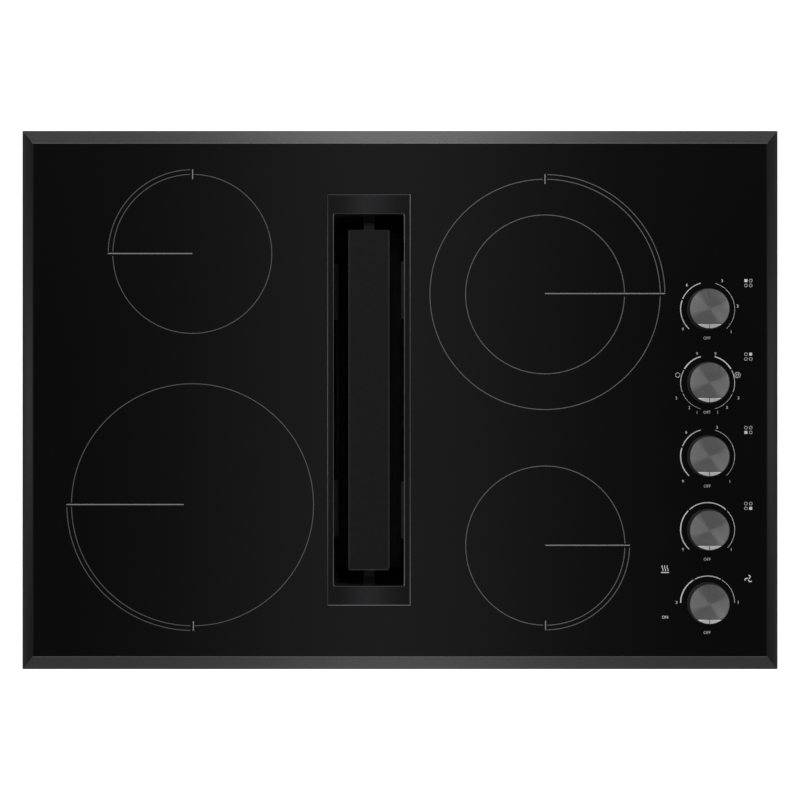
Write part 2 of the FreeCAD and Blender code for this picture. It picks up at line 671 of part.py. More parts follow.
def make_chamber():
    left = VENT_X - chamber_outer_x
    outer = prism(chamber_outline(left, 0, chamber_top, 0), X_AXIS * 2 * chamber_outer_x)
    inner = prism(chamber_outline(left + CHAMBER_SHEET, CHAMBER_SHEET, chamber_top + OVERRUN, CHAMBER_SHEET),
                  X_AXIS * 2 * chamber_inner_x)
    flange = ring_block(VENT_X, 0, chamber_flange_x, chamber_flange_y, chamber_inner_x, chamber_inner_y,
                        chamber_top - CHAMBER_SHEET, chamber_top)
    collar = ring_block(VENT_X, 0, chamber_outer_x + CHAMBER_COLLAR, chamber_outer_y + CHAMBER_COLLAR,
                        chamber_inner_x, chamber_inner_y, collar_bottom, box_bottom)
    low_x, low_z = filter_corner(-FILTER_WIDTH / 2, -FILTER_THICK / 2)
    high_x, high_z = filter_corner(FILTER_WIDTH / 2, -FILTER_THICK / 2)
    tabs = []
    for side in (-1, 1):
        y = side * (filter_length / 2 - FILTER_TAB_LENGTH)
        low_top = low_z - MOVING_GAP
        tabs.append(block(left + CHAMBER_SHEET / 2, low_x + FILTER_THICK, y - FILTER_TAB_LENGTH / 2,
                          y + FILTER_TAB_LENGTH / 2, low_top - CHAMBER_SHEET, low_top))
        tip_x = high_x + MOVING_GAP
        tabs.append(block(tip_x, VENT_X + chamber_inner_x + CHAMBER_SHEET / 2, y - FILTER_TAB_LENGTH / 2,
                          y + FILTER_TAB_LENGTH / 2, high_z - CHAMBER_SHEET, high_z))
    eye = cross_rod(INLET_HOLE_R, VENT_X, scroll_left + OVERRUN, 0, blower_z)
    holes = screw_holes(collar_screws() + inlet_screws())
    save("vent_chamber", outer.cut(inner).fuse([flange, collar] + tabs).cut([eye] + holes).removeSplitter())


def make_filter():
    frame = filter_slab(FILTER_WIDTH, filter_length, FILTER_THICK)
    window_width = FILTER_WIDTH - 2 * FILTER_BORDER
    window_length = filter_length - 2 * FILTER_BORDER
    window = filter_slab(window_width, window_length, FILTER_THICK + 2 * OVERRUN)
    core_thick = FILTER_THICK - 2 * FILTER_SHEET
    core_width = window_width + 2 * FILTER_GROOVE
    core_length = window_length + 2 * FILTER_GROOVE
    groove = filter_slab(core_width, core_length, core_thick)
    save("filter_frame", frame.cut([window, groove]))
    save("filter_mesh", filter_slab(core_width, core_length, core_thick))


# Radiant elements
def limiter_cut(x, y, angle, reach):
    """Slot that lets the limiter's rod and its head pass the wall on one side."""
    half = LIMITER_R + LIMITER_CLEAR
    z = limiter_z()
    cut = block(0, reach, -half, half, z - half, glass_bottom + OVERRUN)
    cut.rotate(vec(0, 0, 0), Z_AXIS, angle)
    cut.translate(vec(x, y, 0))
    return cut


def limiter_z():
    return glass_bottom - LIMITER_R - 2 * LIMITER_CLEAR


def make_pan(name, r, x, y, angle):
    outer_r = r + PAN_MARGIN
    shell = rod(outer_r, x, y, pan_bottom, pan_top)
    inside = rod(outer_r - PAN_SHEET, x, y, pan_bottom + PAN_SHEET, pan_top + OVERRUN)
    save("element_pan_" + name, shell.cut([inside, limiter_cut(x, y, angle, outer_r + OVERRUN)]))


def insulation(r, x, y, angle, split_r):
    """Fibre puck with a heated bowl, divided by a ring where the zone has a second circuit."""
    outer_r = r + PAN_MARGIN - PAN_SHEET - PAN_FIT
    base_bottom = pan_bottom + PAN_SHEET
    base_top = base_bottom + INSULATION_BASE
    puck = rod(outer_r, x, y, base_bottom, glass_bottom)
    bowl = rod(r, x, y, base_top, glass_bottom + OVERRUN)
    puck = puck.cut(bowl)
    if split_r:
        divider = rod(split_r, x, y, base_top - OVERRUN, glass_bottom)
        core = rod(split_r - DIVIDER_WALL, x, y, base_top - 2 * OVERRUN, glass_bottom + OVERRUN)
        puck = puck.fuse(divider.cut(core))
    return puck.cut(limiter_cut(x, y, angle, outer_r + OVERRUN)).removeSplitter()


def spiral_ribbon(x, y, start_r, end_r, turns, z):
    """Upright strip bent round in a spiral of straight runs, a few to each turn."""
    bends = RIBBON_BENDS * turns

    def side(shift):
        points = []
        for k in range(bends + 1):
            angle = 2 * math.pi * k / RIBBON_BENDS
            r = start_r + (end_r - start_r) * k / bends + shift
            points.append(vec(x + r * math.cos(angle), y + r * math.sin(angle), z))
        return points
    return prism(side(RIBBON_THICK / 2) + side(-RIBBON_THICK / 2)[::-1], Z_AXIS * RIBBON_HEIGHT)


def make_elements():
    pucks = []
    ribbons = []
    limiters = []
    ribbon_z = pan_bottom + PAN_SHEET + INSULATION_BASE
    for name, r, x, y, angle, split_r in ZONES:
        make_pan(name, r, x, y, angle)
        pucks.append(insulation(r, x, y, angle, split_r))
        rim_r = r - RIBBON_EDGE_GAP
        inner_rim_r = split_r - DIVIDER_WALL - RIBBON_EDGE_GAP if split_r else rim_r
        ribbons.append(spiral_ribbon(x, y, RIBBON_START_R, inner_rim_r, RIBBON_TURNS, ribbon_z))
        if split_r:
            ribbons.append(spiral_ribbon(x, y, split_r + RIBBON_EDGE_GAP, rim_r, 1, ribbon_z))
        limiters.append(heat_limiter(r, x, y, angle))
    save("element_insulation", pucks)
    save("heater_ribbons", ribbons)
    save("heat_limiters", limiters)


def heat_limiter(r, x, y, angle):
    """Thin rod across the heated disc, with its ceramic switch head outside the pan."""
    pan_r = r + PAN_MARGIN
    z = limiter_z()
    stem = Part.makeCylinder(LIMITER_R, pan_r + r / 2, vec(-r / 2, 0, z), X_AXIS)
    head = block(pan_r, pan_r + LIMITER_HEAD, -LIMITER_HEAD_WIDTH / 2, LIMITER_HEAD_WIDTH / 2,
                 z + LIMITER_R - LIMITER_HEAD_HEIGHT, z + LIMITER_R)
    limiter = stem.fuse(head)
    limiter.rotate(vec(0, 0, 0), Z_AXIS, angle)
    limiter.translate(vec(x, y, 0))
    return limiter


def element_rail(x0, x1, y):
    """Folded strip: a foot and a leg at each end, a level top with turned-down edges."""
    t = RAIL_SHEET
    outline = [
        (x0, box_floor), (x0 + RAIL_FOOT + t, box_floor), (x0 + RAIL_FOOT + t, rail_top - t),
        (x1 - RAIL_FOOT - t, rail_top - t), (x1 - RAIL_FOOT - t, box_floor), (x1, box_floor),
        (x1, box_floor + t), (x1 - RAIL_FOOT, box_floor + t), (x1 - RAIL_FOOT, rail_top),
        (x0 + RAIL_FOOT, rail_top), (x0 + RAIL_FOOT, box_floor + t), (x0, box_floor + t),
    ]
    strip = prism([vec(x, y - RAIL_WIDTH / 2, z) for x, z in outline], Y_AXIS * RAIL_WIDTH)
    for side in (-1, 1):
        edge = y + side * (RAIL_WIDTH / 2 - t / 2)
        strip = strip.fuse(block(x0 + RAIL_FOOT, x1 - RAIL_FOOT, edge - t / 2, edge + t / 2,
                                 rail_top - RAIL_LIP, rail_top))
    return strip.removeSplitter()


def leaf_spring(x, y):
    """Bowed strip between the rail and the pan's underside."""
    def arch(half, rise):
        ends = (vec(x - half, y - SPRING_WIDTH / 2, rail_top), vec(x + half, y - SPRING_WIDTH / 2, rail_top))
        crown = vec(x, y - SPRING_WIDTH / 2, rail_top + rise)
        return Part.Arc(ends[0], crown, ends[1]).toShape(), ends
    outer, outer_ends = arch(spring_span / 2, SPRING_RISE)
    inner, inner_ends = arch(spring_span / 2 - 2 * SPRING_SHEET, SPRING_RISE - SPRING_SHEET)
    lines = [Part.makeLine(outer_ends[k], inner_ends[k]) for k in (0, 1)]
    wire = Part.Wire(Part.__sortEdges__([outer, inner] + lines))
    return Part.Face(wire).extrude(Y_AXIS * SPRING_WIDTH)


def make_element_supports():
    rails = []
    springs = []
    left_end = RAIL_END_GAP - box_half_x
    left_stop = VENT_X - chamber_flange_x - RAIL_END_GAP
    right_start = VENT_X + chamber_flange_x + RAIL_END_GAP
    right_end = bracket_wall_x - 2 * BRACKET_REACH - RAIL_END_GAP
    for name, r, x, y, angle, split_r in ZONES:
        span = (left_end, left_stop) if x < VENT_X else (right_start, right_end)
        rails.append(element_rail(span[0], span[1], y))
        springs += [leaf_spring(x + side * SPRING_PLACE_SHARE * r, y) for side in (-1, 1)]
    save("element_rails", rails)
    save("element_springs", springs)


# Controls
def make_switch_bracket():
    """Folded shelf for the switches: level top, outer wall and foot, and a tongue for the lamps."""
    t = BRACKET_SHEET
    left = control_x - BRACKET_REACH
    outline = [
        (left, bracket_top), (left, bracket_top - t), (bracket_wall_x, bracket_top - t),
        (bracket_wall_x, box_floor), (bracket_wall_x + t + BRACKET_FOOT, box_floor),
        (bracket_wall_x + t + BRACKET_FOOT, box_floor + t), (bracket_wall_x + t, box_floor + t),
        (bracket_wall_x + t, bracket_top),
    ]
    long = bracket_y1 - bracket_y0
    shelf = prism([vec(x, bracket_y0, z) for x, z in outline], Y_AXIS * long)
    tongue = block(left - TONGUE_WIDTH, left + t, bracket_y0, hot_lamp_y + 2 * LAMP_COLLAR_R,
                   bracket_top - t, bracket_top)
    low = bracket_top - OVERRUN
    high = bracket_top + OVERRUN
    bush_hole_r = BUSH_R + BUSH_HOLE_GAP
    lens_hole_r = LAMP_LENS_R + BUSH_HOLE_GAP
    cuts = [rod(bush_hole_r, control_x, control_y(number), low, high) for number in range(CONTROL_COUNT)]
    cuts += [rod(lens_hole_r, lamp_x, y, low, high) for y in (hot_lamp_y, on_lamp_y)]
    save("switch_bracket", shelf.fuse(tongue).cut(cuts + screw_holes(bracket_screws())).removeSplitter())


def switch_body(y, size):
    """Moulded switch case: threaded bush, round cavity for the cam and shaft, flat terminals below."""
    half = size / 2
    case = centred_block(control_x, y, half, half, switch_bottom, switch_top)
    bush_top = switch_top + BUSH_HEIGHT
    bush = rod(BUSH_R, control_x, y, switch_top - OVERRUN, bush_top)
    tabs = [centred_block(control_x + i * half / 2, y + j * half / 2, TAB_WIDTH / 2, TAB_THICK / 2,
                          switch_bottom - TAB_LENGTH, switch_bottom + SWITCH_FLOOR / 2)
            for i in (-1, 1) for j in (-1, 1)]
    cavity = rod(CAVITY_R, control_x, y, cavity_floor, cavity_roof)
    bore = rod(SHAFT_R + SHAFT_FIT, control_x, y, cavity_roof - MOVING_GAP, bush_top + OVERRUN)
    return case.fuse([bush] + tabs).cut([cavity, bore]).removeSplitter()


def flatted_rod(r, y, flat, z0, z1):
    """Round rod with one flat along its side, towards the front."""
    face_y = y - r + flat
    cut = block(control_x - 2 * r, control_x + 2 * r, face_y - 2 * r, face_y, z0 - OVERRUN, z1 + OVERRUN)
    return rod(r, control_x, y, z0, z1).cut(cut)


def make_control(number, name):
    y = control_y(number)
    cam = rod(CAM_R, control_x, y, cam_bottom, cam_top)
    bore = flatted_rod(SHAFT_R + SHAFT_FIT, y, SHAFT_FLAT, cam_bottom - OVERRUN, cam_top + OVERRUN)
    notch_foot = vec(control_x, y - CAM_R, cam_bottom - OVERRUN)
    notch = hex_bar(CAM_NOTCH_R, CAM_HEIGHT + 2 * OVERRUN, notch_foot, Z_AXIS)
    save("cam_" + name, cam.cut([bore, notch]))
    shaft_top = knob_top - KNOB_ROOF - SHAFT_TOP_GAP
    save("shaft_" + name, flatted_rod(SHAFT_R, y, SHAFT_FLAT, shaft_bottom, shaft_top))
    make_knob(name, y, shaft_top)


def make_knob(name, y, shaft_top):
    """Moulded knob: hollow drum with a foot bead, hub with a flatted bore, and a spun metal cap on top."""
    inner_r = KNOB_R - KNOB_WALL
    foot_r = KNOB_R + KNOB_FOOT_REACH
    foot_top = knob_bottom + KNOB_FOOT_THICK
    roof = knob_top - KNOB_ROOF
    hub_bottom = knob_bottom + KNOB_HUB_RISE
    outline = [
        (0, hub_bottom), (KNOB_HUB_R, hub_bottom), (KNOB_HUB_R, roof), (inner_r, roof),
        (inner_r, knob_bottom), (foot_r, knob_bottom), (foot_r, foot_top), (KNOB_R, foot_top),
        (KNOB_R, knob_top), (0, knob_top),
    ]
    points = [vec(control_x + r, y, z) for r, z in outline]
    drum = turned(points, vec(control_x, y, 0), Z_AXIS)
    bore = flatted_rod(SHAFT_R + SHAFT_FIT, y, SHAFT_FLAT, hub_bottom - OVERRUN, shaft_top + SHAFT_FIT)
    save("knob_" + name, drum.cut(bore))
    save("knob_cap_" + name, knob_cap(y))


def knob_cap(y):
    """Metal disc with a sloped segment on the pointer side, a line along its chord and one across."""
    top = knob_top + CAP_THICK
    disc = rod(KNOB_R, control_x, y, knob_top, top)
    rim = [e for e in disc.Edges if e.Length > KNOB_R and abs(e.BoundBox.ZMin - top) < CAP_EDGE and e.Closed]
    disc = disc.makeChamfer(CAP_EDGE, rim)
    chord_y = y - CAP_CHORD
    end_y = y - KNOB_R - OVERRUN
    drop = CAP_RAMP_DROP * (chord_y - end_y) / (KNOB_R - CAP_CHORD)
    ramp = [vec(control_x - KNOB_R, chord_y, top), vec(control_x - KNOB_R, end_y, top - drop),
            vec(control_x - KNOB_R, end_y, top + OVERRUN), vec(control_x - KNOB_R, chord_y, top + OVERRUN)]
    line = centred_block(control_x, chord_y, KNOB_R, CAP_LINE_WIDTH / 2, top - CAP_LINE_DEPTH, top + OVERRUN)
    pointer = centred_block(control_x, (chord_y + end_y) / 2, CAP_LINE_WIDTH / 2, (chord_y - end_y) / 2,
                            top - CAP_RAMP_DROP - CAP_LINE_DEPTH, top + OVERRUN)
    return disc.cut([prism(ramp, X_AXIS * 2 * KNOB_R), line, pointer])


def make_controls():
    make_switch_bracket()
    cases = []
    for number, name in enumerate(CONTROLS):
        make_control(number, name)
        if name == "fan":
            save("fan_switch", switch_body(control_y(number), FAN_SWITCH_SIZE))
        else:
            cases.append(switch_body(control_y(number), SWITCH_SIZE))
    save("heat_switches", cases)
    save("indicator_lights", [indicator_light(y) for y in (hot_lamp_y, on_lamp_y)])


def indicator_light(y):
    """Neon lamp in its holder: lens up to the glass, collar on the tongue, tail through it."""
    tail = bracket_top - BRACKET_SHEET - LAMP_TAIL
    lens = rod(LAMP_LENS_R, lamp_x, y, tail, glass_bottom)
    collar_top = bracket_top + LAMP_COLLAR_HEIGHT
    return lens.fuse(centred_block(lamp_x, y, LAMP_COLLAR_R, LAMP_COLLAR_R, bracket_top, collar_top))


# Supply box
def make_supply_box():
    half_x = SUPPLY_WIDTH / 2
    half_y = SUPPLY_DEPTH / 2
    t = SUPPLY_SHEET
    shell = ring_block(supply_x, supply_y, half_x, half_y, half_x - t, half_y - t, supply_bottom, box_bottom)
    for side in (-1, 1):
        ear_x = supply_x + side * (half_x - t / 2 - SUPPLY_EAR / 2)
        shell = shell.fuse(centred_block(ear_x, supply_y, SUPPLY_EAR / 2 + t / 2, SUPPLY_EAR,
                                         supply_bottom, supply_bottom + t))
    knockout_start = vec(supply_x, supply_y + half_y - t - OVERRUN, (supply_bottom + box_bottom) / 2)
    knockout = Part.makeCylinder(KNOCKOUT_R, 2 * OVERRUN + t, knockout_start, Y_AXIS)
    save("supply_box", shell.cut([knockout] + screw_holes(supply_screws())).removeSplitter())
    cover = centred_block(supply_x, supply_y, half_x, half_y, supply_bottom - t, supply_bottom)
    save("supply_cover", cover.cut(screw_holes(supply_screws())))
    save("terminal_block", terminal_block())


def terminal_block():
    """Moulded block with upright ribs between the wire seats."""
    bottom = box_bottom - BLOCK_HEIGHT
    body = centred_block(supply_x, supply_y, BLOCK_LENGTH / 2, BLOCK_WIDTH / 2, bottom, box_bottom)
    pitch = (BLOCK_LENGTH - BLOCK_RIB_THICK) / (BLOCK_RIB_COUNT - 1)
    low = bottom - BLOCK_RIB
    for number in range(BLOCK_RIB_COUNT):
        x = supply_x - BLOCK_LENGTH / 2 + BLOCK_RIB_THICK / 2 + number * pitch
        body = body.fuse(centred_block(x, supply_y, BLOCK_RIB_THICK / 2, BLOCK_WIDTH / 2, low, bottom))
    wire_hole = rod(WIRE_HOLE_R, wire_hole_x, supply_y, low - OVERRUN, box_bottom + OVERRUN)
    return body.cut(wire_hole).removeSplitter()


# Blower
def scroll_wire(x, shift, down):
    """Four-centre spiral round the wheel, growing a step each quarter, then the straight outlet."""
    half = SCROLL_GROWTH / 2
    r0 = WHEEL_R + SCROLL_GAP + half + shift
    lip_r = r0 - SCROLL_GROWTH
    lip_y = outlet_y2 + shift
    lip_z = -half - math.sqrt(lip_r ** 2 - (lip_y - half) ** 2)
    lip_angle = math.degrees(math.atan2(lip_z + half, lip_y - half)) % FULL_TURN
    edges = [
        arc_edge(half, blower_z - half, lip_r, lip_angle, 270.0, x),
        arc_edge(half, blower_z + half, r0, 270.0, 360.0, x),
        arc_edge(-half, blower_z + half, r0 + SCROLL_GROWTH, 0.0, 90.0, x),
        arc_edge(-half, blower_z - half, r0 + 2 * SCROLL_GROWTH, 90.0, 180.0, x),
    ]
    left_y = -half - r0 - 2 * SCROLL_GROWTH
    foot_z = outlet_z - down
    outlet = [(left_y, blower_z - half), (left_y, foot_z), (lip_y, foot_z), (lip_y, blower_z + lip_z)]
    corners = [vec(x, y, z) for y, z in outlet]
    edges += [Part.makeLine(corners[k], corners[k + 1]) for k in range(len(corners) - 1)]
    return Part.Wire(Part.__sortEdges__(edges))


def make_blower_housing():
    """Scroll wall and its two sides as one folded shell, with the outlet's flange and the screw holes."""
    side = X_AXIS * (scroll_right - scroll_left)
    outer = Part.Face(scroll_wire(scroll_left, SCROLL_SHEET, 0)).extrude(side)
    inner = Part.Face(scroll_wire(scroll_left + SCROLL_SHEET, 0, OVERRUN)).extrude(X_AXIS * SCROLL_WIDTH)
    flange_x = outlet_half_x + OUTLET_FLANGE
    flange_y = outlet_half_y + OUTLET_FLANGE
    flange = ring_block(scroll_mid, outlet_y, flange_x, flange_y, SCROLL_WIDTH / 2, OUTLET_WIDTH / 2,
                        outlet_z, outlet_z + SCROLL_SHEET)
    eye = cross_rod(INLET_HOLE_R, scroll_left - OVERRUN, scroll_left + OVERRUN, 0, blower_z)
    motor_hole = cross_rod(motor_hole_r, scroll_right - OVERRUN, scroll_right + OVERRUN, 0, blower_z)
    holes = screw_holes(inlet_screws() + motor_plate_screws() + outlet_screws())
    save("blower_housing", outer.cut(inner).fuse(flange).cut([eye, motor_hole] + holes).removeSplitter())


def make_inlet_ring():
    """Bellmouth: flange inside the chamber, then a rounded throat into the wheel's eye."""
    left = VENT_X + chamber_inner_x - INLET_SHEET
    throat_r = INLET_THROAT_R
    bend_r = INLET_HOLE_R - INLET_SHEET
    outline = [
        (left, INLET_FLANGE_R), (left + INLET_SHEET, INLET_FLANGE_R), (left + INLET_SHEET, bend_r),
        (inlet_end, throat_r + INLET_SHEET), (inlet_end, throat_r), (left, bend_r - INLET_SHEET),
    ]
    ring = turned([vec(x, 0, blower_z + r) for x, r in outline], vec(0, 0, blower_z), X_AXIS)
    save("inlet_ring", ring.cut(screw_holes(inlet_screws())))


def wheel_blade():
    """One forward-curved blade: a strip of a round tube, nearly radial at the eye, swept forward outside."""
    centre_z = WHEEL_EYE_R + BLADE_ARC_SHIFT
    centre_y = -math.sqrt(BLADE_ARC_R ** 2 - BLADE_ARC_SHIFT ** 2)
    start = math.degrees(math.atan2(-BLADE_ARC_SHIFT, -centre_y))
    end = math.degrees(math.asin((WHEEL_R - BLADE_THICK - centre_z) / BLADE_ARC_R))
    x = wheel_left + WHEEL_PLATE / 2
    outer = arc_edge(centre_y, blower_z + centre_z, BLADE_ARC_R + BLADE_THICK / 2, start, end, x)
    inner = arc_edge(centre_y, blower_z + centre_z, BLADE_ARC_R - BLADE_THICK / 2, start, end, x)
    lines = [Part.makeLine(outer.Vertexes[k].Point, inner.Vertexes[k].Point) for k in (0, -1)]
    face = Part.Face(Part.Wire(Part.__sortEdges__([outer, inner] + lines)))
    return face.extrude(X_AXIS * (WHEEL_WIDTH - WHEEL_PLATE))


def make_blower_wheel():
    """Squirrel-cage wheel: back plate with hub, ring of forward-curved blades, front ring."""
    back = cross_rod(WHEEL_R, wheel_right - WHEEL_PLATE, wheel_right, 0, blower_z)
    hub = cross_rod(HUB_R, wheel_right - HUB_LENGTH, wheel_right, 0, blower_z)
    front = cross_rod(WHEEL_R, wheel_left, wheel_left + WHEEL_PLATE, 0, blower_z)
    front = front.cut(cross_rod(WHEEL_EYE_R, wheel_left - OVERRUN, wheel_left + OVERRUN, 0, blower_z))
    first = wheel_blade()
    blades = []
    for number in range(BLADE_COUNT):
        blade = first.copy()
        blade.rotate(vec(0, 0, blower_z), X_AXIS, FULL_TURN / BLADE_COUNT * number)
        blades.append(blade)
    bore = cross_rod(MOTOR_SHAFT_R + SHAFT_FIT, wheel_left, wheel_right + OVERRUN, 0, blower_z)
    save("blower_wheel", back.fuse([hub, front] + blades).cut(bore).removeSplitter())


def motor_grooves():
    """Straight grooves round the stator, which leave its cooling fins between them."""
    start = motor_left + MOTOR_FIN_START
    half = MOTOR_GROOVE_WIDTH / 2
    floor_z = blower_z + MOTOR_R - MOTOR_FIN_DEPTH
    grooves = []
    for number in range(MOTOR_FIN_COUNT):
        groove = block(start, start + MOTOR_FIN_LENGTH, -half, half, floor_z, blower_z + MOTOR_R + OVERRUN)
        groove.rotate(vec(0, 0, blower_z), X_AXIS, FULL_TURN / MOTOR_FIN_COUNT * number)
        grooves.append(groove)
    return grooves


def make_motor():
    """Round motor on its plate: finned stator body, tapered end bell and bearing boss, then its shaft."""
    bell_left = motor_left + MOTOR_LENGTH
    outline = [
        (motor_left, 0), (motor_left, MOTOR_R), (bell_left, MOTOR_R), (bell_left, BELL_R),
        (motor_right, BELL_R * BELL_NOSE_SHARE), (motor_right, BOSS_R), (motor_right + BOSS_LENGTH, BOSS_R),
        (motor_right + BOSS_LENGTH, 0),
    ]
    body = turned([vec(x, 0, blower_z + r) for x, r in outline], vec(0, 0, blower_z), X_AXIS)
    bore = cross_rod(MOTOR_SHAFT_R + SHAFT_FIT, motor_left - OVERRUN, motor_right + SHAFT_FIT, 0, blower_z)
    save("blower_motor", body.cut([bore] + motor_grooves()))
    plate = cross_rod(motor_plate_r, scroll_right, motor_left, 0, blower_z)
    shaft_hole = cross_rod(SHAFT_PASS_R, scroll_right - OVERRUN, motor_left + OVERRUN, 0, blower_z)
    save("motor_plate", plate.cut([shaft_hole] + screw_holes(motor_plate_screws())))
    save("motor_shaft", cross_rod(MOTOR_SHAFT_R, wheel_right - HUB_LENGTH, motor_right, 0, blower_z))


def make_duct_collar():
    """Outlet adaptor: round plate under the housing's flange, its square opening, round collar below."""
    t = COLLAR_SHEET
    plate_bottom = outlet_z - t
    bottom = plate_bottom - COLLAR_LENGTH
    plate = rod(COLLAR_R + COLLAR_LIP, scroll_mid, outlet_y, plate_bottom, outlet_z)
    square = centred_block(scroll_mid, outlet_y, SCROLL_WIDTH / 2, OUTLET_WIDTH / 2,
                           plate_bottom - OVERRUN, outlet_z + OVERRUN)
    tube = rod(COLLAR_R, scroll_mid, outlet_y, bottom, plate_bottom)
    core = rod(COLLAR_R - t, scroll_mid, outlet_y, bottom - OVERRUN, plate_bottom)
    holes = [square] + screw_holes(outlet_screws())
    save("duct_collar", tube.cut(core).fuse(plate).cut(holes).removeSplitter())


def make_capacitor():
    """Metal can under the burner box, held by a stud through its floor."""
    can_bottom = box_bottom - CAPACITOR_LENGTH
    can = rod(CAPACITOR_R, capacitor_x, capacitor_y, can_bottom, box_bottom)
    stud = rod(CAPACITOR_STUD_R, capacitor_x, capacitor_y, box_bottom - OVERRUN, box_bottom + CAPACITOR_STUD)
    tabs = [centred_block(capacitor_x + side * CAPACITOR_R / 2, capacitor_y, TAB_THICK / 2, TAB_WIDTH / 2,
                          can_bottom - TAB_LENGTH, can_bottom + OVERRUN)
            for side in (-1, 1)]
    save("run_capacitor", can.fuse([stud] + tabs).removeSplitter())


# Hold-down brackets and screws
def hold_down(x, side):
    """Angle bracket on the box wall, with a threaded hole in its outer arm."""
    t = HOLD_DOWN_SHEET
    bottom = -HOLD_DOWN_DROP
    outline = [(0, bottom), (HOLD_DOWN_REACH, bottom), (HOLD_DOWN_REACH, bottom + t), (t, bottom + t),
               (t, bottom + HOLD_DOWN_RISE), (0, bottom + HOLD_DOWN_RISE)]
    points = [vec(x - HOLD_DOWN_WIDTH / 2, side * (box_half_y + out), z) for out, z in outline]
    return prism(points, X_AXIS * HOLD_DOWN_WIDTH)


def clamp_y(side):
    return side * (box_half_y + HOLD_DOWN_REACH * HOLD_DOWN_HOLE_SHARE)


def clamp_screw(x, y, low):
    """Screw that bears up on the countertop's underside: hexagonal head, shank, plain point."""
    point_z = -CLAMP_TOP_DROP - CLAMP_POINT_LENGTH
    head = hex_bar(CLAMP_HEAD_R, CLAMP_HEAD, vec(x, y, low), -Z_AXIS)
    point = rod(CLAMP_POINT_R, x, y, point_z, -CLAMP_TOP_DROP)
    return rod(CLAMP_R, x, y, low, point_z).fuse([head, point])


def make_hold_downs():
    brackets = []
    clamps = []
    for x in (-HOLD_DOWN_X, HOLD_DOWN_X):
        for side in (-1, 1):
            y = clamp_y(side)
            low = -HOLD_DOWN_DROP - CLAMP_TAIL
            hole = rod(CLAMP_R + SHAFT_FIT, x, y, low, -CLAMP_TOP_DROP)
            brackets.append(hold_down(x, side).cut([hole] + screw_holes(hold_down_screws())))
            clamps.append(clamp_screw(x, y, low))
    save("hold_down_brackets", brackets)
    save("clamp_screws", clamps)


def make_screws():
    places = collar_screws() + bracket_screws() + supply_screws() + inlet_screws()
    places += motor_plate_screws() + outlet_screws() + hold_down_screws()
    save("screws", [screw(place, way) for place, way in places])


def main():
    os.makedirs("parts", exist_ok=True)
    make_trim()
    make_glass()
    make_seals()
    make_burner_box()
    make_vent_trim()
    make_vent_cover()
    make_chamber()
    make_filter()
    make_elements()
    make_element_supports()
    make_controls()
    make_supply_box()
    make_blower_housing()
    make_inlet_ring()
    make_blower_wheel()
    make_motor()
    make_duct_collar()
    make_capacitor()
    make_hold_downs()
    make_screws()


main()
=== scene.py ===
import json
import math

import bmesh
import bpy
import numpy as np
from bpy.props import FloatProperty, FloatVectorProperty, IntProperty, PointerProperty
from bpy.types import Operator, Panel, PropertyGroup
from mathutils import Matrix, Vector

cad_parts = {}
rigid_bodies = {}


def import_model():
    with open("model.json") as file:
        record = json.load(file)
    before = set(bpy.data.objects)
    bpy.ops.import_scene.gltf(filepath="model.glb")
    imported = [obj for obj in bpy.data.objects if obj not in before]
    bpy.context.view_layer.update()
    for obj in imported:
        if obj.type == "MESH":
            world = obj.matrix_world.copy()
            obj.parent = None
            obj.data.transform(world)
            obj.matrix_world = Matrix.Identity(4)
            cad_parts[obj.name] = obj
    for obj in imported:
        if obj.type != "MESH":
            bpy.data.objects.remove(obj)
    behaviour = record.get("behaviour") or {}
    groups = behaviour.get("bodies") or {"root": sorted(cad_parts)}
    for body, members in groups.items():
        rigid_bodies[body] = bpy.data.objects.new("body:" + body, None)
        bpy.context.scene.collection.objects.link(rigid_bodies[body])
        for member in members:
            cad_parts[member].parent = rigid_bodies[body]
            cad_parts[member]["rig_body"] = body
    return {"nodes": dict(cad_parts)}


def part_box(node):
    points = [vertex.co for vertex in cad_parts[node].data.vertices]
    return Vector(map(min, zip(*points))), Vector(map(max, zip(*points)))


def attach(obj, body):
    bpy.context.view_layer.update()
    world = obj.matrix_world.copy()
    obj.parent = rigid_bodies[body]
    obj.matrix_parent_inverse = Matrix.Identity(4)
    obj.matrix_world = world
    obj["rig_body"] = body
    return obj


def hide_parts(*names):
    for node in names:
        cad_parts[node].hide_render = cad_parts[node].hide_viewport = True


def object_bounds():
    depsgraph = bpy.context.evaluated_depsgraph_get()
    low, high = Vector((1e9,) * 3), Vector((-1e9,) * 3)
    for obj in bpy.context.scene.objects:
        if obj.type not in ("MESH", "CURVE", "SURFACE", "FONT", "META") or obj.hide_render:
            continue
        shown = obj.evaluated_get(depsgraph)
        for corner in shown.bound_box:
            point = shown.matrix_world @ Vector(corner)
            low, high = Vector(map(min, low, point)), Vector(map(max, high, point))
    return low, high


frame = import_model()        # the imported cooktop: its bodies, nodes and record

bl_info = {
    "name": "Downdraft cooktop looks",
    "version": (1, 0, 0),
    "blender": (4, 5, 0),
    "location": "3D View > Sidebar > Cooktop",
    "description": "Finishes, prints and softened pieces of a built-in cooktop with a downdraft vent",
    "category": "Object",
}

MM = 0.001
FULL_TURN = 2 * math.pi
CONTROLS = ("rear_left", "rear_right", "front_left", "front_right", "fan")
ZONES = ("rear_left", "front_left", "rear_right", "front_right")
CAD_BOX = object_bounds()
MERGE = 0.002 * MM       # points nearer to each other than this are one point
HAIR = 0.01 * MM         # a step too small to see
GLASS_GAP = 0.02 * MM    # clear space under what rests on the glass
CREASE = math.radians(25)        # edges of a copied node that are steeper than this stay sharp
ROUNDED_FROM = math.radians(35)  # and those steeper than this are rounded


def size(name, about, millimetres):
    """A length property, stated in millimetres and kept in metres."""
    return FloatProperty(name=name, description=about, default=millimetres * MM, unit="LENGTH")


